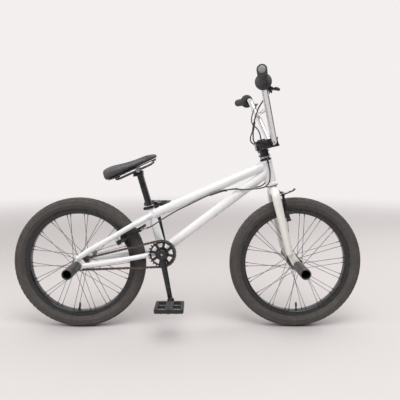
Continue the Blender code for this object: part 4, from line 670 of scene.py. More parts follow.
def stamped(whole, mesh, place):
    """Adds a copy of a mesh to a bmesh, at a place."""
    first = len(whole.verts)
    whole.from_mesh(mesh)
    whole.verts.ensure_lookup_table()
    bmesh.ops.transform(whole, matrix=place, verts=whole.verts[first:])


def piece(name, shapes, finish, body, replaces=(), sharp=35.0):
    """Joins shapes into one finished object that rides on a body."""
    made = in_metres(name, wiped(*shapes))
    mesh = made.data
    mesh.shade_smooth()
    mesh.set_sharp_from_angle(angle=math.radians(sharp))
    mesh.materials.append(FINISHES[finish])
    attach(made, body)
    if replaces:
        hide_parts(*replaces)
    print(name, "on", body, len(mesh.polygons), "faces")


print("finishing tool is ready")

# %% [markdown]
# The tyre is a casing with a low, square-edged tread. The casing is turned from its
# real cross-section, bead to bead, with faint rings on the sidewall. The tread blocks
# are small tapered boxes set round the crown, the outer rows tilted over the shoulder,
# because their stepped edge is what shows against the wall.

# %% Tyres
TYRE_STEPS = 144
TREAD_PITCHES = 76
TREAD_HEIGHT = 1.5
TREAD_FOOT = 1.6
TREAD_ROWS = [
    (0.0, 0.0, 9.0, 15.5, 0.0), (9.6, 6.0, 7.0, 14.0, 0.5), (17.2, 24.0, 6.4, 15.0, 0.0),
    (22.6, 52.0, 5.6, 12.0, 0.5)]
TYRE_SIDE = [
    (251.5, 0.0), (251.3, 6.0), (250.5, 12.0), (248.3, 17.5), (244.6, 21.8),
    (240.6, 23.9), (240.0, 24.5), (238.4, 24.6), (237.8, 24.3), (232.0, 25.0),
    (227.0, 24.6), (226.4, 24.9), (224.6, 24.4), (224.0, 23.9), (219.5, 21.9),
    (216.4, 20.0), (215.8, 20.2), (214.4, 19.2), (213.9, 18.6), (211.4, 16.8),
    (210.3, 15.6), (209.4, 14.1), (204.4, 13.9)]


def crown_point(y):
    """The casing's radius at a distance from its middle line."""
    for (high, near), (low, far) in zip(TYRE_SIDE, TYRE_SIDE[1:]):
        if near <= y <= far:
            return high + (low - high) * (y - near) / (far - near)
    return TYRE_SIDE[0][0]


def tread_block(width, length, height):
    """A low block with drawn-in sides, whose open foot sinks into the casing."""
    bm = bmesh.new()
    bmesh.ops.create_cube(bm, size=1.0)
    bmesh.ops.scale(bm, vec=(length, width, height + TREAD_FOOT), verts=bm.verts)
    top = [v for v in bm.verts if v.co.z > 0]
    bmesh.ops.scale(bm, vec=(0.86, 0.82, 1.0), verts=top)
    foot = [f for f in bm.faces if f.calc_center_median().z < -0.4 * height]
    foot = [f for f in foot if abs(f.normal.z) > 0.9]
    bmesh.ops.delete(bm, geom=foot, context="FACES_ONLY")
    bmesh.ops.translate(bm, vec=(0, 0, (height - TREAD_FOOT) / 2), verts=bm.verts)
    return meshed("tread_block", bm)


def tyre(name, axle, body, node):
    """The casing with its rows of tread blocks."""
    profile = TYRE_SIDE + [(r, -y) for r, y in reversed(TYRE_SIDE[1:])]
    casing = spun(profile, axle, LEFT, TYRE_STEPS, closed=True)
    tread = bmesh.new()
    for middle, tilt, width, length, offset in TREAD_ROWS:
        shape = tread_block(width, length, TREAD_HEIGHT)
        for side in ((1,) if middle == 0 else (1, -1)):
            lean = math.radians(tilt) * side
            for i in range(TREAD_PITCHES):
                turn = 2 * math.pi * (i + offset) / TREAD_PITCHES
                place = (Matrix.Translation(axle) @ Matrix.Rotation(turn, 4, "Y")
                         @ Matrix.Translation((0, side * middle, crown_point(middle)))
                         @ Matrix.Rotation(-lean, 4, "X"))
                stamped(tread, shape, place)
        bpy.data.meshes.remove(shape)
    piece(name, [casing, tread], "tyre", body, [node], sharp=28.0)


tyre("rear_tyre_casing", REAR_AXLE, "rear_wheel", "rear_tyre")
tyre("front_tyre_casing", FRONT_AXLE, "front_wheel", "front_tyre")

# %% [markdown]
# The rim is a black box section with a flat brake track on each side. The valve comes
# through its inner wall, with its lock ring and cap.

# %% Rims
RIM_STEPS = 144
RIM_SIDE = [
    (203.9, 13.9), (209.2, 14.2), (209.9, 15.1), (209.8, 16.4), (209.0, 17.0),
    (207.6, 17.0), (207.2, 16.7), (197.0, 16.5), (195.9, 16.2), (193.2, 14.4),
    (191.9, 12.0), (191.4, 8.0), (191.3, 0.0)]


def rim(name, axle, body, node, valve_lean):
    """The box-section rim with its valve."""
    profile = RIM_SIDE + [(r, -y) for r, y in reversed(RIM_SIDE[:-1])]
    profile += [(203.9, -6.0), (201.5, -3.5), (201.5, 3.5), (203.9, 6.0)]
    hoop = spun(profile, axle, LEFT, RIM_STEPS, closed=True)
    down = Vector((math.sin(valve_lean), 0, -math.cos(valve_lean)))
    inner = axle + down * 191.4
    shapes = [
        hoop, rod(inner + down * 2.0, inner - down * 19.0, 2.9, sides=20),
        hex_nut(inner - down * 0.2, -down, 9.0, 2.4),
        rod(inner - down * 12.0, inner - down * 29.5, 3.7, 3.2, sides=20, soft=1.0)]
    for i in range(7):
        notch = inner - down * (14.0 + 1.6 * i)
        shapes.append(ring(notch, notch - down * 0.8, 3.95, 2.0, sides=20, soft=0.2))
    piece(name, shapes, "black_paint", body, [node])


rim("rear_rim_hoop", REAR_AXLE, "rear_wheel", "rear_rim", math.radians(-3.1))
rim("front_rim_hoop", FRONT_AXLE, "front_wheel", "front_rim", math.radians(3.4))

# %% [markdown]
# Each wheel has thirty-six spokes, laced three-cross: from each flange every other
# spoke leans forward and the rest lean back, and they pass on opposite sides of the
# flange. A spoke has a bent head in the flange and a nipple at the rim.

# %% Hubs and spokes
SPOKES_PER_SIDE = 18
FLANGE_Y = 31.5
FLANGE_RADIUS = 24.0
SPOKE_RADIUS = 1.0
SPOKE_CROSSINGS = 3.0
LEFT_FLANGE_OFFSET = 0.25
HUB_BORE = 5.4


def spokes(axle):
    """All the spokes of a wheel with their heads and nipples, as a list of shapes."""
    shapes = []
    step = 2 * math.pi / SPOKES_PER_SIDE
    root = FLANGE_RADIUS - 2.6
    for side in (-1, 1):
        for i in range(SPOKES_PER_SIDE):
            lead = 1 if i % 2 else -1
            at_hub = i * step + (LEFT_FLANGE_OFFSET * step if side > 0 else 0.0)
            at_rim = at_hub + lead * SPOKE_CROSSINGS * step
            inner = Vector((root * math.cos(at_hub), 0, root * math.sin(at_hub)))
            outer = Vector((191.2 * math.cos(at_rim), 0, 191.2 * math.sin(at_rim)))
            inner.y = side * (FLANGE_Y + 2.6 * lead)
            outer.y = side * 3.5
            head = inner.copy()
            head.y = side * (FLANGE_Y - 2.4 * lead)
            away = (outer - inner).normalized()
            path = [axle + head, axle + inner, axle + inner + away * 3.0, axle + outer]
            shapes.append(tube(path, SPOKE_RADIUS, 1))
            shapes.append(rod(axle + head, axle + head - LEFT * side * lead * 1.2, 1.9,
                              1.3, sides=8, soft=0.2))
            shapes.append(rod(axle + outer - away * 11.0, axle + outer + away * 1.0,
                              1.5, 2.1, sides=8, soft=0.2))
    return shapes


def hub(name, axle, body, node, right_end):
    """The turned hub shell with its laced spokes."""
    y = FLANGE_Y
    half = [(HUB_BORE, 54.7), (10.2, 54.7), (11.0, 53.5), (11.0, 49.0), (12.4, 46.0),
            (12.8, y + 5.0), (15.0, y + 3.0), (FLANGE_RADIUS, y + 2.0),
            (FLANGE_RADIUS, y - 2.0), (18.0, y - 3.4), (14.2, y - 8.0),
            (13.4, y - 14.0), (13.2, 0.0)]
    right = [(r, -h) for r, h in reversed(half[:-1]) if -h > -right_end]
    right += [(12.6, -right_end), (HUB_BORE, -right_end)] if right_end < 50.0 else []
    shell = turned(half + right, axle, LEFT)
    piece(name, [shell] + spokes(axle), "dark_steel", body, [node], sharp=40.0)


hub("rear_hub_shell", REAR_AXLE, "rear_wheel", "rear_hub_and_spokes", 37.7)
hub("front_hub_shell", FRONT_AXLE, "front_wheel", "front_hub_and_spokes", 54.7)

# %% [markdown]
# The pegs are open steel tubes that a rider stands on. A closed base takes the axle,
# whose nut is reached down the bore. Two shallow grooves near the end are all the
# ornament that a peg has.

# %% Axles and pegs
PEG_START = 61.1
PEG_LENGTH = 110.0
PEG_RADIUS = 19.0
PEG_BORE = 15.0
PEG_BASE = 12.0
PEG_HOLE = 5.3
LIP = 1.2


def axle_set(name, axle, body, node):
    """The axle with its threaded ends, nuts and washers."""
    seat = PEG_START + PEG_BASE + GAP
    shapes = [rod(axle - LEFT * (seat + 12.0), axle + LEFT * (seat + 12.0), 4.9,
                  sides=24, soft=0.8)]
    for side in (-1, 1):
        out = LEFT * side
        shapes.append(ring(axle + out * seat, axle + out * (seat + 1.6), 11.0, 5.0,
                           soft=0.3))
        shapes.append(hex_nut(axle + out * (seat + 1.6), out, 15.0, 7.0))
    piece(name, shapes, "steel", body, [node])


def peg(name, axle, body, node, side):
    """A hollow peg with a rounded lip and two grooves."""
    grooves = []
    for place in (PEG_LENGTH - 22.0, PEG_LENGTH - 14.0):
        grooves += [(PEG_RADIUS, place), (PEG_RADIUS - 0.7, place + 0.7),
                    (PEG_RADIUS - 0.7, place + 2.3), (PEG_RADIUS, place + 3.0)]
    profile = [(PEG_HOLE, 0.0), (PEG_RADIUS - LIP, 0.0), (PEG_RADIUS, LIP)] + grooves + [
        (PEG_RADIUS, PEG_LENGTH - LIP), (PEG_RADIUS - LIP, PEG_LENGTH),
        (PEG_BORE + 0.8, PEG_LENGTH), (PEG_BORE, PEG_LENGTH - 0.8),
        (PEG_BORE, PEG_BASE + 2.0), (PEG_BORE - 2.0, PEG_BASE), (PEG_HOLE, PEG_BASE)]
    shape = turned(profile, axle + LEFT * side * PEG_START, LEFT * side, 0.3, 56)
    piece(name, [shape], "dark_steel", body, [node])


axle_set("rear_axle_set", REAR_AXLE, "frame", "rear_axle")
axle_set("front_axle_set", FRONT_AXLE, "steering", "front_axle")
for word, side in SIDES:
    peg(f"rear_{word}_peg_tube", REAR_AXLE, "frame", f"rear_{word}_peg", side)
    peg(f"front_{word}_peg_tube", FRONT_AXLE, "steering", f"front_{word}_peg", side)

# %% [markdown]
# The frame is a weldment of thin round tubes. Each tube's end is mitred, cut to the
# curve of the tube that it meets, and a bead of weld is laid round the joint. The same
# curve gives both: it is where a line along one tube's skin enters the other tube.

# %% Mitres and welds
WELD_RADIUS = 1.6
TUBE_STEPS = 48


def mitre(start, end, radius, other, other_along, other_radius, entering=False):
    """The curve on a tube from start to end where it leaves or enters another tube."""
    start, other = Vector(start), Vector(other)
    along = (Vector(end) - start).normalized()
    cross = Vector(other_along).normalized()
    place = placing(start, along)
    line = []
    for i in range(TUBE_STEPS):
        angle = 2 * math.pi * i / TUBE_STEPS
        rim_point = place @ Vector((radius * math.cos(angle), radius * math.sin(angle), 0))
        flat = along - cross * along.dot(cross)
        away = (rim_point - other) - cross * (rim_point - other).dot(cross)
        a = flat.length_squared
        b = 2 * away.dot(flat)
        c = away.length_squared - other_radius ** 2
        root = math.sqrt(max(0.0, b * b - 4 * a * c))
        gone = (-b - root if entering else -b + root) / (2 * a)
        line.append(rim_point + along * gone)
    return line


def mitred_tube(first, last):
    """A tube between two end curves, closed by a shallow cone at each end."""
    bm = bmesh.new()
    loops = [[bm.verts.new(p) for p in line] for line in (first, last)]
    for i in range(TUBE_STEPS):
        j = (i + 1) % TUBE_STEPS
        bm.faces.new((loops[0][i], loops[0][j], loops[1][j], loops[1][i]))
    for loop in loops:
        middle = bm.verts.new(sum((v.co for v in loop), Vector()) / TUBE_STEPS)
        for i in range(TUBE_STEPS):
            bm.faces.new((loop[i], loop[(i + 1) % TUBE_STEPS], middle))
    bmesh.ops.recalc_face_normals(bm, faces=bm.faces)
    return bm


def weld_bead(line):
    """A rippled bead laid along a closed line."""
    radii = [WELD_RADIUS * (1.0 + 0.2 * (-1) ** i) for i in range(len(line))]
    return tube(line, radii, 2, cyclic=True)


def circle_points(radius, count, centre=(0.0, 0.0)):
    """Points of a circle in a plate's own plane."""
    return [(centre[0] + radius * math.cos(2 * math.pi * i / count),
             centre[1] + radius * math.sin(2 * math.pi * i / count))
            for i in range(count)]


def arc(radius, degrees, centre=(0.0, 0.0), way=1):
    """Points of an arc at angles in degrees, which start from -X if way is -1."""
    return [(centre[0] + way * radius * math.cos(a), centre[1] + radius * math.sin(a))
            for a in map(math.radians, degrees)]


def belt(discs, count=36):
    """The outline of a belt pulled round discs of (x, y, radius)."""
    points = sorted({(round(x, 4), round(y, 4)) for cx, cy, r in discs
                     for x, y in circle_points(r, count, (cx, cy))})
    hull = []
    for run in (points, points[::-1]):
        base = len(hull)
        for x, y in run:
            while len(hull) > base + 1:
                (ax, ay), (bx, by) = hull[-2], hull[-1]
                if (bx - ax) * (y - ay) - (by - ay) * (x - ax) > 0:
                    break
                hull.pop()
            hull.append((x, y))
        hull.pop()
    return hull


def slotted(outline, way, half, steps=10):
    """An outline with a round-bottomed slot cut from the origin out through one side."""
    way = Vector(way)
    across = Vector((-way.y, way.x))
    kept = [Vector(p) for p in outline]
    kept = [p for p in kept if p.dot(way) < 0 or abs(p.dot(across)) > half + 0.6]
    kept.sort(key=lambda p: math.atan2(p.dot(across), p.dot(way)) % (2 * math.pi))
    reach = max(p.dot(way) for p in kept if abs(p.dot(across)) < 2.5 * half)
    bottom = [way * (-half * math.sin(math.pi * k / steps))
              - across * (half * math.cos(math.pi * k / steps)) for k in range(steps + 1)]
    notch = [way * reach - across * half] + bottom + [way * reach + across * half]
    return [tuple(p) for p in kept + notch]


print("mitre and weld tools are ready")

# %% [markdown]
# The tubes: a flared head tube, two big tubes from it to the seat tube and the bottom
# bracket, and pairs of thin stays that spread to the rear axle. The dropouts are laser
# cut plates with a slot open to the rear, and the brake bosses stand on the stays.

# %% Frame
HEAD_LENGTH = 97.0
HEAD_RADIUS = 21.0
HEAD_FLARE = 23.5
HEAD_BORE = 17.0
SHELL_RADIUS = 22.0
SEAT_TUBE_RADIUS = 16.0
SEAT_TUBE_LENGTH = 185.0
TOP_TUBE_RADIUS = 17.5
TOP_TUBE_CUT = 17.6
DOWN_TUBE_RADIUS = 18.0
CHAIN_STAY_RADIUS = 9.5
SEAT_STAY_RADIUS = 10.0
HUB_HALF_WIDTH = 55.0
DROPOUT_THICKNESS = 5.5
AXLE_SLOT = 5.3
BRAKE_ARM_Y = 40.0
BRAKE_OFFSET = 26.0
BARREL_HALF = 8.2
STAY_UP = Vector((math.cos(math.radians(30)), 0, math.sin(math.radians(30))))
STAY_OUT = Vector((math.sin(math.radians(30)), 0, -math.cos(math.radians(30))))
REAR_PIVOT = REAR_AXLE + 178.0 * Vector(
    (math.cos(math.radians(29)), 0, math.sin(math.radians(29))))
FRONT_PIVOT = steer_point(-135.4, BRAKE_OFFSET)
SEAT_STAY = [(-409.6, 60.0, 283.0), (-363.0, 55.0, 313.6), (-299.8, 50.0, 349.1),
             (-214.9, 43.0, 399.1), (-172.6, 36.0, 420.5), (-147.0, 21.0, 435.0),
             (-137.0, 11.0, 438.0)]
CHAIN_STAY = [(-112.0, 22.3, 294.9), (-128.0, 25.5, 292.0), (-150.0, 29.5, 288.5),
              (-178.0, 36.0, 284.0), (-215.0, 42.0, 278.0), (-300.0, 50.0, 265.0),
              (-392.0, 58.0, 254.0)]


def brake_boss(pivot, out, side):
    """A turned boss with its pivot pin and the bolt that keeps the arm on."""
    centre = pivot + LEFT * side * BRAKE_ARM_Y
    seat = centre - out * (BARREL_HALF + GAP)
    end = centre + out * (BARREL_HALF + GAP)
    return [
        rod(centre - out * BRAKE_OFFSET, seat, 7.5, sides=32, soft=0.6),
        rod(seat - out * 3.0, end + out * 0.8, 4.0, sides=24),
        ring(end, end + out * 0.9, 6.5, 3.0, 32, 0.2),
        bolt_head(end + out * 0.9, out, 5.6, 3.0)]


def dropout(axle, discs, way, side):
    """A slotted plate that holds one end of an axle."""
    middle = LEFT * side * (HUB_HALF_WIDTH + GAP + DROPOUT_THICKNESS / 2)
    return plate([slotted(belt(discs), way, AXLE_SLOT)], DROPOUT_THICKNESS,
                 axle + middle, -LEFT, FORWARD, soft=0.8)


head_profile = [
    (HEAD_BORE, 0.0), (HEAD_FLARE, 0.0), (HEAD_FLARE, 8.0), (21.6, 11.5),
    (HEAD_RADIUS, 14.5), (HEAD_RADIUS, 82.5), (21.6, 85.5), (HEAD_FLARE, 89.0),
    (HEAD_FLARE, HEAD_LENGTH), (HEAD_BORE, HEAD_LENGTH)]
shell_half = LEFT * 34.0
top_head, top_seat = steer_point(80.0), seat_point(147.0)
down_head, down_shell = steer_point(53.7), BRACKET + UP * 3.0
top_curves = [
    mitre(top_head, top_seat, TOP_TUBE_RADIUS, HEAD_FOOT, COLUMN, HEAD_RADIUS),
    mitre(top_head, top_seat, TOP_TUBE_RADIUS, BRACKET, SEAT_LINE, TOP_TUBE_CUT, True)]
down_curves = [
    mitre(down_head, down_shell, DOWN_TUBE_RADIUS, HEAD_FOOT, COLUMN, HEAD_RADIUS),
    mitre(down_head, down_shell, DOWN_TUBE_RADIUS, BRACKET, LEFT, SHELL_RADIUS, True)]
seat_curve = mitre(BRACKET, seat_point(SEAT_TUBE_LENGTH), SEAT_TUBE_RADIUS, BRACKET,
                   LEFT, SHELL_RADIUS)
tubes = [
    turned(head_profile, HEAD_FOOT, COLUMN, 0.9, 64),
    ring(BRACKET - shell_half, BRACKET + shell_half, SHELL_RADIUS, 18.5, 64, 0.7),
    ring(seat_point(10.0), seat_point(SEAT_TUBE_LENGTH), SEAT_TUBE_RADIUS, 13.0, 48),
    mitred_tube(*top_curves), mitred_tube(*down_curves)]
welds = [weld_bead(line) for line in top_curves + down_curves + [seat_curve]]
for side in (-1, 1):
    stay = [Vector((x, side * y, z)) for x, y, z in CHAIN_STAY]
    tubes.append(tube(smooth_route(stay, 9.0), CHAIN_STAY_RADIUS, 7))
    welds.append(weld_bead(
        mitre(stay[0], stay[1], CHAIN_STAY_RADIUS, BRACKET, LEFT, SHELL_RADIUS)))
    stay = [Vector((x, side * y, z)) for x, y, z in SEAT_STAY]
    tubes.append(tube(smooth_route(stay, 9.0), SEAT_STAY_RADIUS, 7))
    tubes.append(dropout(REAR_AXLE, [(0.0, 0.0, 17.0), (28.0, 2.0, 10.0),
                                     (9.0, 30.0, 9.0)], (-1, 0), side))
    tubes += brake_boss(REAR_PIVOT, STAY_OUT, side)
for x, y, z, radius in ((-146.0, 28.0, 289.0, 6.0), (-187.0, 38.0, 413.0, 5.0)):
    tubes.append(rod((x, -y, z), (x, y, z), radius, sides=32))
piece("frame_weldment", tubes + welds, "white_paint", "frame", ["frame"], sharp=32.0)

# %% [markdown]
# The headset cups are pressed into the ends of the head tube. The seat clamp is a split
# collar with a bolt across the split, which squeezes the top of the seat tube.

# %% Headset cups and seat clamp
upper_cup = [(14.7, 80.3), (16.7, 80.3), (16.7, 97.3), (23.0, 97.3), (22.4, 99.0),
             (19.0, 101.2), (14.7, 101.2)]
lower_cup = [(14.7, -3.1), (23.0, -3.1), (23.0, -0.3), (16.7, -0.3), (16.7, 17.0),
             (14.7, 17.0)]
for name, profile, node in (("upper_bearing_cup", upper_cup, "upper_headset_cup"),
                            ("lower_bearing_cup", lower_cup, "lower_headset_cup")):
    shape = turned(profile, HEAD_FOOT, COLUMN, 0.4, 64)
    piece(name, [shape], "black_paint", "frame", [node])

CLAMP_BORE = SEAT_TUBE_RADIUS + GAP
CLAMP_WALL = 3.4
clamp_low, clamp_high = 173.0, SEAT_TUBE_LENGTH - 1.0
clamp_middle = (clamp_low + clamp_high) / 2
back = -CLAMP_BORE - 7.0
collar = [(back, 1.2), (back, 6.5), (-CLAMP_BORE - 1.0, 7.0)]
collar += arc(CLAMP_BORE + CLAMP_WALL, range(24, 340, 6), way=-1)
collar += [(-CLAMP_BORE - 1.0, -7.0), (back, -6.5), (back, -1.2)]
collar += arc(CLAMP_BORE, range(356, 3, -6), way=-1)
clamp_bolt = seat_point(clamp_middle, -CLAMP_BORE - 4.4)
piece("seat_clamp_collar", [
    plate([collar], clamp_high - clamp_low, seat_point(clamp_middle), SEAT_LINE,
          SEAT_FRONT, soft=0.7),
    rod(clamp_bolt - LEFT * 8.0, clamp_bolt + LEFT * 9.5, 2.4, sides=16),
    bolt_head(clamp_bolt - LEFT * 6.8, -LEFT, 4.0, 4.0),
    hex_nut(clamp_bolt + LEFT * 6.6, LEFT, 6.6, 3.4)], "black_alloy", "frame",
    ["seat_clamp"])

# %% [markdown]
# The fork's legs curve out of the crown and taper towards the axle, so their thickness
# is carried along the path with the points. The steering tube is hollow, because the
# front brake's cable runs down through it.

# %% Fork
STEM_BASE = 138.8
STEM_HEIGHT = 35.0
STEERER_RADIUS = 14.3
STEERER_BORE = 11.5
FORK_LEG = [(-18.5, 0.0, 12.0, 15.0), (-19.0, 0.0, 18.0, 15.5), (-22.5, 0.0, 31.0, 16.0),
            (-31.0, 0.0, 42.0, 16.0), (-46.0, -0.5, 48.5, 16.0), (-66.0, -1.0, 50.5, 16.0),
            (-110.0, -1.0, 52.0, 15.4), (-180.0, -1.0, 55.0, 14.4),
            (-262.0, -1.0, 58.0, 13.2)]


def tapered_tube(knots, radii, spacing, smoothness=8):
    """A smooth tube through knots, its radius carried evenly from knot to knot."""
    path = smooth_route(knots, spacing)
    marks = [min(range(len(path)), key=lambda i: (path[i] - knot).length)
             for knot in knots]
    marks[0], marks[-1] = 0, len(path) - 1
    widths = []
    for i in range(len(path)):
        k = max(n for n, mark in enumerate(marks) if mark <= i)
        k = min(k, len(knots) - 2)
        share = (i - marks[k]) / max(1, marks[k + 1] - marks[k])
        widths.append(radii[k] * (1 - share) + radii[k + 1] * share)
    return tube(path, widths, smoothness)


crown = [(STEERER_BORE, -34.0), (16.5, -34.0), (18.5, -32.0), (18.5, -5.0), (22.0, -3.6),
         (22.0, -3.45), (STEERER_BORE, -3.45)]
fork_shapes = [
    ring(steer_point(-20.0), steer_point(STEM_BASE + STEM_HEIGHT - 2.0), STEERER_RADIUS,
         STEERER_BORE, 56),
    turned(crown, HEAD_FOOT, COLUMN, 0.5, 64)]
foot = steer_point(-256.0, -1.0) - FRONT_AXLE
for side in (-1, 1):
    knots = [steer_point(s, f, side * y) for s, f, y, _ in FORK_LEG]
    fork_shapes.append(tapered_tube(knots, [row[3] for row in FORK_LEG], 7.0))
    fork_shapes.append(weld_bead(
        mitre(steer_point(-19.0), steer_point(-20.0, 0, side * 40.0), 15.3, HEAD_FOOT,
              COLUMN, 18.4)))
    fork_shapes.append(dropout(FRONT_AXLE, [(0.0, 0.0, 17.0), (foot.x, foot.z, 12.0)],
                               (0, -1), side))
    fork_shapes += brake_boss(FRONT_PIVOT, COLUMN_FRONT, side)
piece("fork_weldment", fork_shapes, "cream_paint", "steering", ["fork"], sharp=32.0)

# %% [markdown]
# The stem clamps the steering tube behind and the handlebar in front. Its halves are
# cut from bar: one outline from above for the part round the tube, and one from the
# side for the part round the bar. Four bolts pull the front cap on.

# %% Stem
STEM_MIDDLE = STEM_BASE + STEM_HEIGHT / 2
STEM_REACH = 38.0
STEM_WIDTH = 52.0
BAR_RADIUS = 11.1
BAR_SEAT = 11.7
rear_half = [(-27.0, -1.3), (-27.0, -19.0), (-24.0, -22.5), (20.0, -22.5),
             (24.5, -24.0), (24.5, 24.0), (20.0, 22.5), (-24.0, 22.5), (-27.0, 19.0),
             (-27.0, 1.3)]
bore = arc(STEERER_RADIUS + GAP, range(6, 355, 6), way=-1)
notch = arc(BAR_SEAT, range(92, 269, 8), (STEM_REACH, 0.0))
front_half = [(20.0, 14.0), (23.0, 16.6), (35.8, 17.2), (37.85, 15.5)] + notch + [
    (37.85, -15.5), (35.8, -17.2), (23.0, -16.6), (20.0, -14.0)]
bar_cap = [(38.15, -15.5), (40.0, -17.2), (50.5, -17.2), (56.1, -11.5), (56.1, 11.5),
           (50.5, 17.2), (40.0, 17.2), (38.15, 15.5)]
bar_cap += arc(BAR_SEAT, range(88, -89, -8), (STEM_REACH, 0.0))
middle = steer_point(STEM_MIDDLE)
stem = [plate([rear_half + bore], STEM_HEIGHT, middle, COLUMN, COLUMN_FRONT, soft=1.5),
        plate([front_half], STEM_WIDTH, middle, -LEFT, COLUMN_FRONT, soft=1.5)]
for lift in (-10.0, 10.0):
    at = steer_point(STEM_MIDDLE + lift, -21.0, -21.8)
    stem += [bolt_head(at, -LEFT, 4.5, 3.6), ring(at, at - LEFT * 0.7, 5.4, 3.0, 32, 0.2)]
piece("stem_rear_half", stem, "black_paint", "steering", ["stem_body"])
cap = [plate([bar_cap], STEM_WIDTH, middle, -LEFT, COLUMN_FRONT, soft=1.5)]
for side in (-1, 1):
    for lift in (-13.0, 13.0):
        at = steer_point(STEM_MIDDLE + lift, STEM_REACH + 17.0, side * 18.0)
        cap += [rod(at - COLUMN_FRONT * 3.0, at + COLUMN_FRONT * 0.8, 5.4, sides=32),
                bolt_head(at + COLUMN_FRONT * 0.8, COLUMN_FRONT, 4.2, 3.2)]
piece("stem_front_cap", cap, "black_paint", "steering", ["stem_bar_clamp"])
cap_base = STEM_BASE + STEM_HEIGHT + GAP
cap_profile = [(4.0, 0.0), (17.0, 0.0), (17.0, 2.6), (13.0, 4.5), (7.0, 4.5), (6.0, 3.2),
               (4.0, 3.2)]
piece("stem_top_cap", [turned(cap_profile, steer_point(cap_base), COLUMN)],
      "black_paint", "steering", ["top_cap"])

# %% [markdown]
# The handlebar is one chromed tube bent at four places, with a crossbar welded between
# its uprights. The grips are moulded rubber: a flange at the inner end, ribs all the
# way along and a pale plug in a black ring at the end.

# %% Handlebar and grips
BAR_KNEE_Y = 44.0
GRIP_LENGTH = 138.0
GRIP_RADIUS = 15.5
GRIP_RIBS = 26
CROSSBAR_RADIUS = 8.5
CROSSBAR_SHARE = 0.62


def bar_corners(side):
    """The middle, knee, shoulder and end of the bar on one side."""
    centre = steer_point(STEM_MIDDLE, STEM_REACH)
    return (centre, centre + LEFT * side * BAR_KNEE_Y, Vector((257.0, side * 175.0, 893.0)),
            Vector((223.0, side * 351.0, 907.0)))


_, left_knee, left_shoulder, left_end = bar_corners(1)
_, right_knee, right_shoulder, right_end = bar_corners(-1)
bar_path = bent_route(
    [right_end, right_shoulder, right_knee, left_knee, left_shoulder, left_end],
    [37.0, 34.0, 34.0, 37.0], 14)
brace_left = left_knee.lerp(left_shoulder, CROSSBAR_SHARE)
brace_right = right_knee.lerp(right_shoulder, CROSSBAR_SHARE)
bar_shapes = [tube(bar_path, BAR_RADIUS, 10),
              rod(brace_right, brace_left, CROSSBAR_RADIUS, sides=48)]
for near, far, knee, shoulder in (
        (brace_left, brace_right, left_knee, left_shoulder),
        (brace_right, brace_left, right_knee, right_shoulder)):
    bar_shapes.append(weld_bead(
        mitre(near, far, CROSSBAR_RADIUS, near, shoulder - knee, BAR_RADIUS)))
piece("handlebar_tube", bar_shapes, "chrome", "steering", ["handlebar"], sharp=40.0)

for word, side in SIDES:
    _, _, shoulder, end = bar_corners(side)
    out = (end - shoulder).normalized()
    start = end - out * (GRIP_LENGTH - 4.0)
    profile = [(11.3, 0.0), (26.2, 0.0), (27.0, 0.8), (27.0, 3.2), (25.5, 4.6),
               (17.6, 6.2), (15.4, 9.0)]
    rib_step = (GRIP_LENGTH - 24.0) / GRIP_RIBS
    for i in range(GRIP_RIBS):
        at = 12.0 + i * rib_step
        profile += [(14.5, at), (14.5, at + 0.30 * rib_step),
                    (GRIP_RADIUS, at + 0.45 * rib_step), (GRIP_RADIUS, at + 0.9 * rib_step)]
    profile += [(15.2, GRIP_LENGTH - 9.0), (GRIP_RADIUS, GRIP_LENGTH - 7.0),
                (GRIP_RADIUS, GRIP_LENGTH - 2.0), (13.6, GRIP_LENGTH - 0.2),
                (11.6, GRIP_LENGTH - 0.2), (11.6, GRIP_LENGTH - 3.4),
                (11.3, GRIP_LENGTH - 3.6)]
    piece(f"{word}_grip_rubber", [spun(profile, start, out, 48, closed=True)],
          "grip_rubber", "steering", [f"{word}_grip"], sharp=50.0)
    plug = [(0.0, -3.0), (11.4, -3.0), (11.4, -0.4), (9.6, 0.9), (4.0, 1.3), (0.0, 1.3)]
    piece(f"{word}_grip_plug",
          [spun(plug, start + out * (GRIP_LENGTH - 0.9), out, 40)],
          "pale_plug", "steering")

# %% [markdown]
# Each brake lever hangs from a clamp on the bar. The blade is forged: flat in section,
# waisted for two fingers and curved away from the bar to a ball at its tip. A threaded
# adjuster takes the cable's housing.

# %% Levers
LEVER_AWAY = Vector((0.771, 0, -0.635))
LEVER_ALONG = 25.5
LEVER_MOUNT = 25.0


def lever_frame(side):
    """The lever's seat and its axes: out along the bar, away from it, and the hinge."""
    _, _, shoulder, end = bar_corners(side)
    out = (end - shoulder).normalized()
    away = (LEVER_AWAY - out * LEVER_AWAY.dot(out)).normalized()
    return shoulder + out * LEVER_ALONG, out, away, out.cross(away)


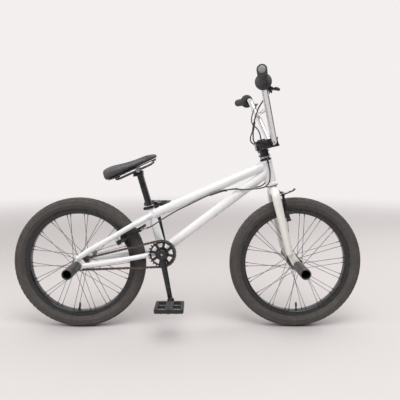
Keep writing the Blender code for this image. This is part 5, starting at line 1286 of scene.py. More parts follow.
for word, side in SIDES:
    seat, out, away, hinge = lever_frame(side)
    pivot = seat + away * 31.5
    mount = seat + away * LEVER_MOUNT
    shapes = [ring(seat - out * 8.0, seat + out * 8.0, 16.4, 11.4, 48, 1.0),
              block(seat + away * 19.0 - out * 4.0, (16.0, 15.0, 15.0), away, out, 2.0)]
    for lean in (-1, 1):
        shapes.append(block(seat + away * 30.5 - out * 1.0 + hinge * lean * 5.6,
                            (16.0, 4.0, 19.0), away, out, 1.2))
    shapes.append(block(seat + away * 27.0 - out * 9.5, (6.0, 15.0, 15.0), away, out, 1.6))
    shapes += [rod(mount - out * 6.0, mount - out * 17.0, 4.2, sides=24),
               ring(mount - out * 17.0, mount - out * 21.0, 5.6, 1.6, 24, 0.6),
               ring(mount - out * 21.4, mount - out * 30.0, 4.9, 1.6, 24, 0.9)]
    for i in range(3):
        at = mount - out * (23.0 + 2.0 * i)
        shapes.append(ring(at, at - out * 1.0, 5.15, 2.0, 24, 0.2))
    shapes += [rod(pivot - hinge * 7.8, pivot + hinge * 7.8, 2.4, sides=24),
               bolt_head(pivot + hinge * 7.4, hinge, 4.0, 1.8),
               bolt_head(pivot - hinge * 7.4, -hinge, 4.0, 1.8)]
    clamp_screw = seat - away * 10.5 + hinge * 12.5
    shapes.append(rod(clamp_screw - out * 5.5, clamp_screw + out * 5.5, 3.6, sides=24))
    piece(f"{word}_lever_clamp", shapes, "black_alloy", "steering",
          [f"{word}_lever_bracket"])
    route = [(-1.0, 0.0), (14.0, 5.0), (30.0, 9.0), (50.0, 15.0), (66.0, 23.0),
             (78.0, 31.0)]
    path = smooth_route([pivot + out * e + away * w for e, w in route], 4.0)
    rings = []
    for i, point in enumerate(path):
        share = i / (len(path) - 1)
        step = (path[min(i + 1, len(path) - 1)] - path[max(i - 1, 0)]).normalized()
        broad = 2.9 + 2.3 * min(1.0, 3.0 * share) + 0.7 * math.sin(3.2 * math.pi * share)
        thick = 3.1 - 0.5 * share
        rings.append(oval(point, hinge, step.cross(hinge), broad, thick, 20, 2.8))
    tip = path[-1]
    blade = [forged(rings), ring(pivot - hinge * 3.0, pivot + hinge * 3.0, 6.2, 2.75, 32)]
    ball = bmesh.new()
    bmesh.ops.create_uvsphere(ball, u_segments=24, v_segments=14, radius=4.4)
    bmesh.ops.translate(ball, vec=tip, verts=ball.verts)
    piece(f"{word}_lever_blade_forged", blade + [ball], "black_alloy", f"{word}_lever",
          [f"{word}_lever_blade"], sharp=45.0)

# %% [markdown]
# The cable rotor lets the bars turn all the way round without winding up the rear
# brake's cable. The upper plate and race turn with the bars, the lower pair stays with
# the frame, and a bearing joins the races. A pull on the upper wires lifts both races.

# %% Cable rotor
PLATE_THICKNESS = 3.0
RACE_HEIGHT = 6.6
LOWER_RACE = 106.6
UPPER_PLATE = 131.0
ROTOR_BASE = HEAD_LENGTH + 2 * GAP + 3.9
ROTOR_TRAVEL = 8.0
COLUMN_BORE = 14.75
COLLAR_RADIUS = 16.5
RACE_BORE = 17.0
PLATE_RADIUS = 22.0
UPPER_EARS = [(-15.0, side * 30.5) for side in (-1, 1)]
LOWER_EARS = [(2.0, side * 28.0) for side in (-1, 1)]


def ears(middle, thickness, places, hole=0.0):
    """A pair of rounded ears on a ring, each drilled for its cable."""
    shapes = []
    for f, y in places:
        share = 20.0 / math.hypot(f, y)
        outlines = [belt([(share * f, share * y, 4.6), (f, y, 4.4)], 28)]
        if hole:
            outlines.append(circle_points(hole, 14, (f, y)))
        shapes.append(plate(outlines, thickness, steer_point(middle), COLUMN,
                            COLUMN_FRONT, soft=0.35))
    return shapes


def turned_on_column(profile, base, soft=0.4):
    """A closed profile of (radius, height) turned about the steering column."""
    return turned(profile, steer_point(base), COLUMN, soft, 56)


lower_plate = turned_on_column(
    [(COLUMN_BORE, 0.0), (PLATE_RADIUS, 0.0), (PLATE_RADIUS, PLATE_THICKNESS),
     (COLUMN_BORE, PLATE_THICKNESS)], ROTOR_BASE)
piece("rotor_plate_lower", [lower_plate] + ears(
    ROTOR_BASE + PLATE_THICKNESS / 2, 2.2, LOWER_EARS, 1.6), "black_paint", "frame",
    ["rotor_lower_plate"])
collar_foot = ROTOR_BASE + PLATE_THICKNESS + GAP
collar_top = STEM_BASE - GAP
plate_top = UPPER_PLATE + PLATE_THICKNESS
upper_plate = turned_on_column(
    [(COLUMN_BORE, collar_foot), (COLLAR_RADIUS, collar_foot),
     (COLLAR_RADIUS, UPPER_PLATE), (PLATE_RADIUS, UPPER_PLATE),
     (PLATE_RADIUS, plate_top), (COLLAR_RADIUS, plate_top),
     (COLLAR_RADIUS, collar_top), (COLUMN_BORE, collar_top)], 0.0)
piece("rotor_plate_upper", [upper_plate] + ears(
    UPPER_PLATE + PLATE_THICKNESS / 2, 2.2, UPPER_EARS, 1.6), "black_paint", "steering",
    ["rotor_upper_plate"])
upper_foot = LOWER_RACE + RACE_HEIGHT + GAP
groove = [(20.5, 0.0), (20.5, 2.0), (19.6, 2.6), (19.6, 4.0), (20.5, 4.6),
          (20.5, RACE_HEIGHT)]
lower_race = [turned_on_column(
    [(RACE_BORE, 0.0)] + groove + [(RACE_BORE, RACE_HEIGHT)], LOWER_RACE, 0.3)]
lower_race += ears(LOWER_RACE + 2.2, 2.8, LOWER_EARS)
for f, y in LOWER_EARS:
    lower_race.append(rod(steer_point(ROTOR_BASE - ROTOR_TRAVEL - 1.5, f, y),
                          steer_point(LOWER_RACE + 2.0, f, y), 0.9, sides=12))
    lower_race.append(rod(steer_point(LOWER_RACE + 3.4, f, y),
                          steer_point(LOWER_RACE + 5.6, f, y), 2.6, sides=20))
piece("rotor_race_lower", lower_race, "steel", "lower_race", ["rotor_lower_race"])
upper_race = [turned_on_column(
    [(RACE_BORE, 0.0), (19.5, 0.0), (19.5, RACE_HEIGHT), (RACE_BORE, RACE_HEIGHT)],
    upper_foot, 0.6)]
upper_race += ears(upper_foot + RACE_HEIGHT - 2.2, 2.8, UPPER_EARS)
for f, y in UPPER_EARS:
    upper_race.append(rod(steer_point(upper_foot + RACE_HEIGHT - 2.0, f, y),
                          steer_point(plate_top + 1.5, f, y), 0.9, sides=12))
    upper_race.append(rod(steer_point(upper_foot + RACE_HEIGHT - 5.6, f, y),
                          steer_point(upper_foot + RACE_HEIGHT - 3.4, f, y), 2.6,
                          sides=20))
piece("rotor_race_upper", upper_race, "black_paint", "upper_race", ["rotor_upper_race"])

# %% [markdown]
# The cables run in smooth housings that spring into wide curves. Each housing ends in a
# ferrule, and where one cable splits into two there is a moulded sleeve. Their routes
# pass through the same points as the skeleton's.

# %% Cables
CABLE_RADIUS = 2.5
SLEEVE_RADIUS = 4.3
ARM_LENGTH = 102.0
ELBOW_OUT = 14.5
PIPE_RUN = 20.0


def housing(label, points):
    """A cable's housing on a smooth route, whose length is printed."""
    route = smooth_route(points, 5.0)
    length = sum((q - p).length for p, q in zip(route, route[1:]))
    print(label, "housing:", round(length), "mm long")
    return tube(route, CABLE_RADIUS, 4)


def ferrule(mouth, way, length):
    """A housing's end cap with a stepped mouth that the wire runs through."""
    return [ring(mouth, mouth + way * length, 3.3, 1.5, 24, 0.4),
            ring(mouth + way * (length - 4.0), mouth + way * (length - 3.0), 3.8, 2.4,
                 24, 0.3),
            ring(mouth + way * (length - 0.5), mouth + way * (length + 4.0), 2.9, 2.2,
                 24, 0.4)]


def lever_mouth(side):
    """Where a lever's housing starts, and the way that it leaves."""
    seat, out, away, _ = lever_frame(side)
    return seat + away * LEVER_MOUNT - out * (30.0 + GAP), -out


def pipe_mouth(pivot, up, way):
    """Where a brake's housing meets its guide pipe."""
    elbow = pivot + up * ARM_LENGTH - LEFT * (BRAKE_ARM_Y + ELBOW_OUT)
    return elbow + way * (PIPE_RUN + 1.3)


REAR_WAY = Vector((0.93, 0, 0.30)).normalized()
FRONT_WAY = COLUMN_FRONT
over = plate_top + GAP
ends = [steer_point(over + 11.5, f, y) for f, y in UPPER_EARS]
fork_at = Vector((243.0, -38.0, 764.0))
mouth, way = lever_mouth(-1)
right_route = [mouth, mouth + way * 14.0, (281.0, -132.0, 873.0), (268.0, -105.0, 856.0),
               (253.0, -80.0, 828.0), (245.0, -56.0, 794.0), fork_at,
               (243.0, -34.0, 738.0), (247.0, -32.0, 716.0), ends[0] + COLUMN * 9.0,
               ends[0]]
left_route = [fork_at + Vector((0.5, -8.0, 10.0)), fork_at, (241.0, -14.0, 748.0),
              (240.0, 16.0, 734.0), (245.0, 31.0, 716.0), ends[1] + COLUMN * 9.0, ends[1]]
sleeve_path = [fork_at + Vector(v) for v in
               ((1.5, -15.0, 21.0), (1.0, -11.0, 15.0), (0.0, 0.0, 0.0), (-0.5, 4.0, -7.0))]
shapes = [housing("lever to right ear", right_route),
          housing("upper branch to left ear", left_route),
          tube(smooth_route(sleeve_path, 3.0), SLEEVE_RADIUS, 5)]
for f, y in UPPER_EARS:
    shapes += ferrule(steer_point(over, f, y), COLUMN, 12.0)
piece("rotor_cable_upper", shapes, "cable_housing", "steering", ["rotor_upper_cable"])

under = ROTOR_BASE - GAP
ends = [steer_point(under - 13.5, f, y) for f, y in LOWER_EARS]
join_at = Vector((136.0, -7.0, 532.5))
mouth = pipe_mouth(REAR_PIVOT, STAY_UP, REAR_WAY)
right_route = [
    ends[0], ends[0] - COLUMN * 10.0, (307.5, -31.0, 607.0), (307.0, -34.0, 572.0),
    (298.0, -35.0, 556.0), (289.0, -32.0, 548.0), (272.0, -26.0, 543.0),
    (245.0, -25.0, 540.0), (214.5, -24.0, 538.0), (175.0, -15.0, 538.5), join_at,
    (110.0, -14.0, 525.0), (80.0, -18.0, 515.5), (40.8, -15.0, 497.5),
    (0.0, -10.0, 476.5), (-42.1, -10.0, 456.0), (-82.0, -18.0, 433.0),
    (-106.0, -27.0, 419.0), (-124.0, -42.0, 408.0), mouth + REAR_WAY * 12.0, mouth]
left_route = [
    ends[1], ends[1] - COLUMN * 10.0, (307.5, 31.0, 607.0), (306.0, 33.0, 572.0),
    (297.0, 33.0, 556.0), (279.5, 28.0, 546.0), (246.0, 25.0, 541.0),
    (214.5, 23.5, 538.5), (176.0, 12.0, 537.5), join_at,
    join_at + Vector((-8.0, -1.5, -2.6))]
sleeve_path = [join_at + Vector((14.0, 1.5, 0.6)), join_at, (110.0, -14.0, 525.0),
               (84.0, -17.6, 516.5)]
shapes = [housing("right ear to rear brake", right_route),
          housing("lower branch from left ear", left_route),
          tube(smooth_route(sleeve_path, 4.0), SLEEVE_RADIUS, 5)]
for f, y in LOWER_EARS:
    shapes += ferrule(steer_point(under, f, y), -COLUMN, 14.0)
shapes += [ring(mouth, mouth + REAR_WAY * 9.0, 3.0, 1.2, 24, 0.5)]
piece("rotor_cable_lower", shapes, "cable_housing", "frame", ["rotor_lower_cable"])

mouth, way = lever_mouth(1)
cap_top = STEM_BASE + STEM_HEIGHT + 4.5
front_mouth = pipe_mouth(FRONT_PIVOT, COLUMN, FRONT_WAY)
route = [mouth, mouth + way * 14.0, (281.0, 132.0, 873.0), (269.0, 105.0, 857.0),
         (255.0, 80.0, 830.0), (248.0, 58.0, 802.0), (251.0, 32.0, 781.0),
         (262.0, 10.0, 768.0), steer_point(cap_top + 24.0), steer_point(cap_top),
         steer_point(120.0), steer_point(60.0), steer_point(0.0), steer_point(-33.0),
         steer_point(-43.0, 6.0, 4.0), steer_point(-49.0, 24.0, 13.0),
         steer_point(-47.0, 48.0, 16.0), steer_point(-42.0, 70.0, 4.0),
         steer_point(-35.0, 79.0, -18.0), steer_point(-29.0, 72.0, -40.0),
         front_mouth + FRONT_WAY * 13.0, front_mouth]
piece("front_brake_housing",
      [housing("lever to front brake", route),
       ring(front_mouth, front_mouth + FRONT_WAY * 9.0, 3.0, 1.2, 24, 0.5)],
      "cable_housing", "steering", ["front_brake_cable"])

# %% [markdown]
# A linear-pull brake is two tall arms on bosses. A bent pipe leads the wire into one
# arm, it crosses to the other inside a rubber boot, and a bolt pinches it there. The
# pipe's end is hollow and the boot is wider than it, so one slides into the other. The
# pads are moulded to the rim's curve, and a wire spring pushes each arm out again.

# %% Brakes
PAD_RISE = 20.0
PAD_FACE = 19.0
PAD_LENGTH = 51.6
PAD_DEPTH = 8.0


def brake_pad(axle, place, side):
    """A curved pad with three water grooves."""
    radial = place - axle
    radial.y = 0.0
    radius = radial.length
    radial.normalize()
    along = radial.cross(LEFT)
    rings = []
    for i in range(15):
        angle = (i / 14 - 0.5) * PAD_LENGTH / radius
        spoke = radial * math.cos(angle) + along * math.sin(angle)
        shy = 1.2 if i in (0, 14) else 0.0
        thick = PAD_DEPTH - (1.1 if i in (4, 7, 10) else 0.0) - shy
        middle = axle + spoke * radius + LEFT * side * (PAD_FACE + PAD_DEPTH - thick / 2)
        rings.append(oval(middle, spoke, LEFT * side, 5.2 - shy, thick / 2, 16, 4.0))
    return forged(rings)


def brake(word, pivot, up, out, axle, carrier, way, wire_node):
    """Both arms with pads, springs, pipe, boot and wire."""
    for which, side in SIDES:
        centre = pivot + LEFT * side * BRAKE_ARM_Y
        top = centre + up * ARM_LENGTH
        pad_at = centre + up * PAD_RISE
        on_axis = Vector((pad_at.x, 0, pad_at.z))
        rings = []
        for share, wide, deep in (
                (0.0, 6.6, 6.6), (0.10, 6.3, 6.2), (0.18, 6.1, 6.0), (0.34, 5.7, 5.6),
                (0.5, 5.2, 5.2), (0.7, 4.8, 4.9), (0.88, 4.7, 4.7), (0.96, 4.6, 4.6),
                (1.0, 4.2, 4.2)):
            rings.append(oval(centre.lerp(top, share), LEFT, out, wide, deep, 20, 3.0))
        arm = [forged(rings),
               ring(centre - out * BARREL_HALF, centre + out * BARREL_HALF, 8.0, 4.5, 40,
                    0.7),
               ring(top - LEFT * side * 7.0, top + LEFT * side * 6.0, 5.7, 3.1, 32, 0.7)]
        for lean in (-1, 1):
            arm.append(block(pad_at + out * lean * 4.9, (4.0, 12.4, 25.0), up, out, 1.2))
            arm.append(block(pad_at + up * lean * 8.2, (13.4, 12.0, 9.0), up, out, 1.2))
        screw = top - up * 9.0
        arm.append(bolt_head(screw + out * 4.4, out, 3.6, 2.6))
        spring = [centre - out * 6.0 - LEFT * side * 8.4, centre - out * 6.5 + up * 16.0
                  - LEFT * side * 6.4, centre - out * 7.2 + up * 46.0 - LEFT * side * 3.5,
                  centre - out * 6.6 + up * 66.0 - LEFT * side * 0.5]
        arm.append(tube(smooth_route(spring, 5.0), 0.8, 2))
        arm.append(block(centre - out * 6.2 + up * 66.0, (5.0, 5.0, 6.0), up, out, 0.8))
        piece(f"{word}_{which}_brake_arm_forged", arm, "black_alloy",
              f"{word}_{which}_arm", [f"{word}_{which}_brake_arm"], sharp=42.0)

        def across(y):
            return on_axis + LEFT * side * y

        pad = [brake_pad(axle, pad_at, side),
               rod(across(26.0), across(48.7), 2.9, sides=24),
               ring(across(25.6), across(28.0), 6.2, 3.2, 32, 0.5),
               ring(across(28.3), across(30.6), 5.4, 3.2, 32, 0.8),
               ring(across(30.9), across(33.4), 5.6, 3.2, 32, 0.4),
               ring(across(46.6), across(48.0), 5.6, 3.2, 32, 0.4),
               bolt_head(across(48.0), LEFT * side, 4.6, 2.6)]
        piece(f"{word}_{which}_pad_shoe", pad, "pad_rubber", f"{word}_{which}_arm",
              [f"{word}_{which}_brake_pad"], sharp=38.0)
    top = pivot + up * ARM_LENGTH
    right_top = top - LEFT * BRAKE_ARM_Y
    inner = right_top + LEFT * 12.0
    elbow = right_top - LEFT * ELBOW_OUT
    hollow_end = inner - LEFT * 11.0
    pipe_end = elbow + way * PIPE_RUN
    path = bent_route([hollow_end, elbow, pipe_end], [7.5], 12)
    pipe = [tube(path, 2.4, 5), ring(hollow_end, inner, 2.4, 2.0, 24, 0.1),
            ring(right_top - LEFT * 6.3, right_top - LEFT * 8.4, 4.0, 2.0, 28, 0.4),
            ring(elbow + way * 15.0, pipe_end, 2.8, 1.4, 24, 0.4)]
    piece(f"{word}_brake_guide_pipe", pipe, "steel", f"{word}_right_arm",
          [f"{word}_brake_pipe"])
    start = inner + LEFT * GAP
    end = top + LEFT * (BRAKE_ARM_Y + 14.0)
    boot = [(1.2, 9.0), (3.4, 8.4), (3.4, 1.4), (4.2, 1.4), (4.2, 2.6)]
    for i in range(6):
        at = 3.6 + 2.6 * i
        shrink = 0.18 * max(0, i - 2)
        boot += [(3.7 - shrink, at), (4.2 - shrink, at + 1.3)]
    boot += [(2.8, 19.8), (2.2, 22.0), (1.2, 22.0)]
    wire = [rod(start, end, 0.9, sides=14), spun(boot, start, LEFT, 28, closed=True),
            rod(end - LEFT * 5.0, end, 1.6, 1.4, sides=16)]
    piece(f"{word}_brake_wire_and_boot", wire, "cable_housing", carrier, [wire_node],
          sharp=30.0)


brake("rear", REAR_PIVOT, STAY_UP, STAY_OUT, REAR_AXLE, "frame", REAR_WAY,
      "rear_brake_wire")
brake("front", FRONT_PIVOT, COLUMN, COLUMN_FRONT, FRONT_AXLE, "steering", FRONT_WAY,
      "front_brake_wire")

# %% [markdown]
# The chain has a pin at every half inch. Its pins are laid out first: round the big
# sprocket, back along the top, round the small one and home along the bottom. Outer
# links, shaped like a figure of eight, take turns with inner links and their rollers.

# %% Chain layout
CHAIN_PITCH = 12.7
RING_TEETH = 25
COG_TEETH = 9
CHAIN_LINE = -45.0
ROLLER_RADIUS = 3.9


def pitch_radius(teeth, pitch):
    """The radius at which the rollers lie, a pitch apart along the circle."""
    return pitch * teeth / (2 * math.pi)


def chain_layout():
    """The chain's pins in world X and Z, its pitch, and each sprocket's turn."""
    span = BRACKET - REAR_AXLE
    distance = span.length
    tilt = math.atan2(span.z, span.x)
    pitch = CHAIN_PITCH
    for _ in range(8):
        ring_r = pitch_radius(RING_TEETH, pitch)
        cog_r = pitch_radius(COG_TEETH, pitch)
        lean = math.asin((ring_r - cog_r) / distance)
        run = distance * math.cos(lean)
        ring_arc = ring_r * (math.pi + 2 * lean)
        cog_arc = cog_r * (math.pi - 2 * lean)
        total = 2 * run + ring_arc + cog_arc
        count = 2 * round(total / CHAIN_PITCH / 2)
        pitch = total / count
    top = math.pi / 2 + lean
    pins = []
    ring_first = cog_first = None
    for i in range(count):
        gone = (i + 0.5) * pitch
        if gone < ring_arc:
            angle = gone / ring_r - top
            ring_first = angle if ring_first is None else ring_first
            place = (ring_r * math.cos(angle), ring_r * math.sin(angle))
        elif gone < ring_arc + run:
            gone -= ring_arc
            place = (ring_r * math.cos(top) - gone * math.sin(top),
                     ring_r * math.sin(top) + gone * math.cos(top))
        elif gone < ring_arc + run + cog_arc:
            angle = top + (gone - ring_arc - run) / cog_r
            cog_first = angle if cog_first is None else cog_first
            place = (cog_r * math.cos(angle) - distance, cog_r * math.sin(angle))
        else:
            gone -= ring_arc + run + cog_arc
            place = (cog_r * math.cos(-top) - distance + gone * math.sin(top),
                     cog_r * math.sin(-top) + gone * math.cos(top))
        pins.append(place)
    cosine, sine = math.cos(tilt), math.sin(tilt)
    pins = [(BRACKET.x + x * cosine - z * sine, BRACKET.z + x * sine + z * cosine)
            for x, z in pins]
    return (pins, pitch, tilt + ring_first + math.pi / RING_TEETH,
            tilt + cog_first + math.pi / COG_TEETH)


CHAIN_PINS, LINK_PITCH, RING_TURN, COG_TURN = chain_layout()
print("chain pins:", len(CHAIN_PINS), "pitch:", round(LINK_PITCH, 3), "mm")

# %% [markdown]
# One outer link and one inner link are made, and copies of them are set between the
# pins. The links stand still, because a chain that wraps two sprockets has no single
# body to ride on.

# %% Chain
LINK_PIN_RADIUS = 1.9


def link_outline(end_radius, waist):
    """A figure-of-eight side plate along X, from one pin to the next."""
    right = arc(end_radius, range(-100, 101, 40), (LINK_PITCH / 2, 0.0))
    left = [(-x, -y) for x, y in right]
    return right + [(0.0, waist)] + left + [(0.0, -waist)]


outer_parts, inner_parts = [], []
for side in (-1, 1):
    outer_parts.append(plate([link_outline(4.0, 2.7)], 1.0, LEFT * side * 3.95, -LEFT,
                             FORWARD, soft=0.15))
    inner_parts.append(plate([link_outline(3.9, 2.6)], 1.0, LEFT * side * 2.85, -LEFT,
                             FORWARD, soft=0.15))
for end in (-0.5, 0.5):
    at = Vector((end * LINK_PITCH, 0, 0))
    outer_parts.append(rod(at - LEFT * 4.9, at + LEFT * 4.9, LINK_PIN_RADIUS, sides=10,
                           soft=0.3))
    inner_parts.append(rod(at - LEFT * 2.6, at + LEFT * 2.6, ROLLER_RADIUS - 0.1,
                           sides=12, soft=0.3))
links = [meshed("link", wiped(*parts)) for parts in (outer_parts, inner_parts)]
chain = bmesh.new()
for i, (x, z) in enumerate(CHAIN_PINS):
    x2, z2 = CHAIN_PINS[(i + 1) % len(CHAIN_PINS)]
    along = Vector((x2 - x, 0, z2 - z)).normalized()
    middle = Vector(((x + x2) / 2, CHAIN_LINE, (z + z2) / 2))
    turn = Matrix((along, LEFT, along.cross(LEFT))).transposed().to_4x4()
    stamped(chain, links[i % 2], Matrix.Translation(middle) @ turn)
for mesh in links:
    bpy.data.meshes.remove(mesh)
piece("chain_links", [chain], "chain_steel", "frame", ["chain"], sharp=40.0)

# %% [markdown]
# The sprockets are plates with teeth that are thinned at their tips, so the chain drops
# on. The big one is drilled out between its arms to save weight, and the small one is
# part of the driver that turns the hub.

# %% Sprockets
SPROCKET_THICKNESS = 3.0


def toothed(teeth, turn):
    """A sprocket's outline, with hollows that cradle the rollers."""
    middle_r = pitch_radius(teeth, LINK_PITCH)
    tip = middle_r + 2.8
    outline = []
    for i in range(teeth):
        hollow = turn + (2 * i - 1) * math.pi / teeth
        for k in range(-3, 4):
            a = math.radians(24 * k)
            r = ROLLER_RADIUS + 0.35
            x, y = middle_r - r * math.cos(a), r * math.sin(a)
            outline.append((math.hypot(x, y), hollow + math.atan2(y, x)))
        tooth = turn + 2 * math.pi * i / teeth
        outline += [(tip - 0.3, tooth - 1.25 / tip), (tip, tooth - 0.5 / tip),
                    (tip, tooth + 0.5 / tip), (tip - 0.3, tooth + 1.25 / tip)]
    return [(r * math.cos(a), r * math.sin(a)) for r, a in outline]


def window(turn, low, high, low_half, high_half):
    """A rounded four-sided hole between two arms of a sprocket."""
    corners = [(low, -low_half), (low, low_half), (high, high_half), (high, -high_half)]
    shape = [(r * math.cos(turn + o / r), r * math.sin(turn + o / r)) for r, o in corners]
    return softened(shape, 3.0, closed=True, steps=3)


windows = [window(math.pi * i / 4 + 0.2, 26.0, 41.5, 5.5, 11.0) for i in range(8)]
face = BRACKET + LEFT * CHAIN_LINE
ring_shapes = [
    plate([toothed(RING_TEETH, RING_TURN)] + windows + [circle_points(11.6, 40)],
          SPROCKET_THICKNESS, face, -LEFT, FORWARD, soft=0.5),
    ring(face - LEFT * 1.4, face + LEFT * 4.5, 20.5, 11.7, 56, 0.6)]
piece("chainring_plate", ring_shapes, "black_paint", "cranks", ["chainring"], sharp=32.0)
cog_face = REAR_AXLE + LEFT * CHAIN_LINE
driver = [(5.45, 38.0), (12.6, 38.0), (12.6, 53.4), (11.6, 54.7), (5.45, 54.7)]
piece("driver_and_cog", [
    plate([toothed(COG_TEETH, COG_TURN), circle_points(11.0, 40)], SPROCKET_THICKNESS,
          cog_face, -LEFT, FORWARD, soft=0.5),
    turned(driver, REAR_AXLE, -LEFT, 0.4)],
    "steel", "driver", ["driver_cog"], sharp=32.0)

# %% [markdown]
# The crank arms are forged and tapered, with a big boss on the spindle and a small one
# round the pedal's axle. The spindle turns in a bearing sleeve in the frame's shell.

# %% Cranks and spindle
CRANK_LENGTH = 175.0
CRANK_LEAN = math.radians(11.0)
CRANK_ROOT_Y = 59.0
CRANK_TIP_Y = 74.0
CRANK_WIDTH = 26.0
CRANK_DEPTH = 13.0
SPINDLE_RADIUS = 11.0
PEDAL_Y = 140.0
PEDAL_LENGTH = 104.0
PEDAL_WIDTH = 94.0
PEDAL_THICKNESS = 13.4


def crank_way(side):
    """The unit vector from the spindle to the pedal axle; the arms are opposite."""
    lean = Vector((math.sin(CRANK_LEAN), 0, -math.cos(CRANK_LEAN)))
    return lean if side < 0 else -lean


for word, side in SIDES:
    way, out = crank_way(side), LEFT * side
    root = BRACKET + out * CRANK_ROOT_Y
    tip = BRACKET + out * CRANK_TIP_Y + way * CRANK_LENGTH
    across = way.cross(LEFT)
    rings = []
    for k in range(13):
        share = 0.03 + 0.955 * k / 12
        wide = CRANK_WIDTH / 2 * (0.95 - 0.28 * share ** 0.7)
        deep = 0.9 * CRANK_DEPTH / 2 * (1.0 - 0.06 * share)
        rings.append(oval(root.lerp(tip, share), across, out, wide, deep, 28, 3.2))
    inner = 46.8 if side < 0 else CRANK_ROOT_Y - CRANK_DEPTH / 2 - 1.2
    boss = [(11.4, inner), (17.6, inner), (19.0, inner + 1.4), (19.0, CRANK_ROOT_Y + 6.5),
            (17.2, CRANK_ROOT_Y + 8.5), (9.0, CRANK_ROOT_Y + 8.5),
            (8.0, CRANK_ROOT_Y + 7.2), (5.0, CRANK_ROOT_Y + 7.2),
            (5.0, CRANK_ROOT_Y + 4.5), (11.4, CRANK_ROOT_Y + 4.5)]
    end_y = PEDAL_Y + PEDAL_WIDTH / 2 - 6.0
    axle_line = BRACKET + way * CRANK_LENGTH
    tip_boss = [(0.0, CRANK_TIP_Y - 7.5), (12.4, CRANK_TIP_Y - 7.5),
                (13.5, CRANK_TIP_Y - 6.4), (13.5, CRANK_TIP_Y + 6.6),
                (12.2, CRANK_TIP_Y + 8.0), (8.5, CRANK_TIP_Y + 8.0),
                (8.5, CRANK_TIP_Y + 11.0), (6.0, CRANK_TIP_Y + 12.0), (6.0, end_y - 1.0),
                (5.0, end_y), (0.0, end_y)]
    shapes = [forged(rings),
              turned(boss, BRACKET, out, 0.6, 56),
              spun(softened(tip_boss, 0.6), axle_line, out, 48)]
    if side < 0:
        bolt = BRACKET + way * 32.0
        shapes += [rod(bolt + out * 46.8, bolt + out * 62.0, 5.0, sides=32),
                   bolt_head(bolt + out * 60.5, out, 5.0, 2.5)]
    piece(f"{word}_crank_arm", shapes, "black_paint", "cranks", [f"{word}_crank"],
          sharp=40.0)

reach = 37.0
sleeve_shapes = [ring(BRACKET - LEFT * reach, BRACKET + LEFT * reach, 18.0, 11.6, 56, 0.5)]
for side in (-1, 1):
    seal = BRACKET + LEFT * side * reach
    sleeve_shapes.append(ring(seal - LEFT * side * 2.6, seal - LEFT * side * 0.1, 20.6,
                              17.0, 56, 0.5))
piece("bearing_sleeve", sleeve_shapes, "steel", "frame", ["bottom_bracket"])
spindle_end = CRANK_ROOT_Y + 4.0
far = CRANK_ROOT_Y - CRANK_DEPTH / 2 - 1.5
piece("spindle_and_spacers", [
    rod(BRACKET - LEFT * spindle_end, BRACKET + LEFT * spindle_end, SPINDLE_RADIUS,
        sides=48),
    ring(BRACKET - LEFT * 43.2, BRACKET - LEFT * (reach + GAP), 15.0, 11.2, 48),
    ring(BRACKET + LEFT * (reach + GAP), BRACKET + LEFT * far, 15.0, 11.2, 48)],
    "steel", "cranks", ["crank_spindle"])

# %% [markdown]
# The pedals are moulded platforms: a thick rim round four open windows, a tube across
# the middle for the axle, and rows of short pins that bite into a shoe's sole.

# %% Pedals
PIN_ROWS = 5
PIN_REACH = 8.4
WINDOW_OUT = 0.26 * PEDAL_LENGTH


def frame_outline(length, width, corner):
    """A rectangle with rounded corners in a plate's own plane."""
    points = []
    for cx, cy, first in ((1, 1, 0), (-1, 1, 90), (-1, -1, 180), (1, -1, 270)):
        centre = (cx * (length / 2 - corner), cy * (width / 2 - corner))
        points += arc(corner, [first + 22.5 * k for k in range(5)], centre)
    return points


for word, side in SIDES:
    out = LEFT * side
    centre = BRACKET + crank_way(side) * CRANK_LENGTH + out * PEDAL_Y
    outlines = [frame_outline(PEDAL_LENGTH, PEDAL_WIDTH, 9.0)]
    for end in (-1, 1):
        for row in (-1, 1):
            hole = frame_outline(27.0, 34.0, 5.0)
            outlines.append([(x + end * WINDOW_OUT, y + row * 19.0) for x, y in hole])
    shapes = [plate(outlines, PEDAL_THICKNESS, centre, UP, FORWARD, soft=1.6)]
    edge = PEDAL_WIDTH / 2
    barrel = [(6.5, -edge + 0.6), (8.5, -edge + 0.6), (8.5, edge - 1.0), (6.0, edge - 0.4),
              (0.0, edge - 0.4), (0.0, edge - 5.0), (6.5, edge - 5.0)]
    shapes.append(spun(softened(barrel, 0.5), centre, out, 40))
    for end in (-1, 1):
        pins = [(PEDAL_LENGTH / 2 - 4.6, (k / (PIN_ROWS - 1) - 0.5) * (PEDAL_WIDTH - 14.0))
                for k in range(PIN_ROWS)]
        for x, y in pins + [(WINDOW_OUT, 4.6 - edge), (WINDOW_OUT, edge - 4.6)]:
            at = centre + Vector((end * x, y, 0))
            shapes.append(rod(at - UP * PIN_REACH, at + UP * PIN_REACH, 1.7, sides=10,
                              soft=0.3))
    piece(f"{word}_pedal_platform", shapes, "black_plastic", f"{word}_pedal",
          [f"{word}_pedal"], sharp=38.0)

# %% [markdown]
# The saddle is a foam pad under stretched vinyl. Its shell is drawn as a row of
# cross-sections from the wide tail to the narrow nose, a little smaller than the real
# pad. Cloth simulation then blows it up by a few millimetres, so the top crowns and the
# sides pull in as stretched vinyl does. The seams are pressed in after that.

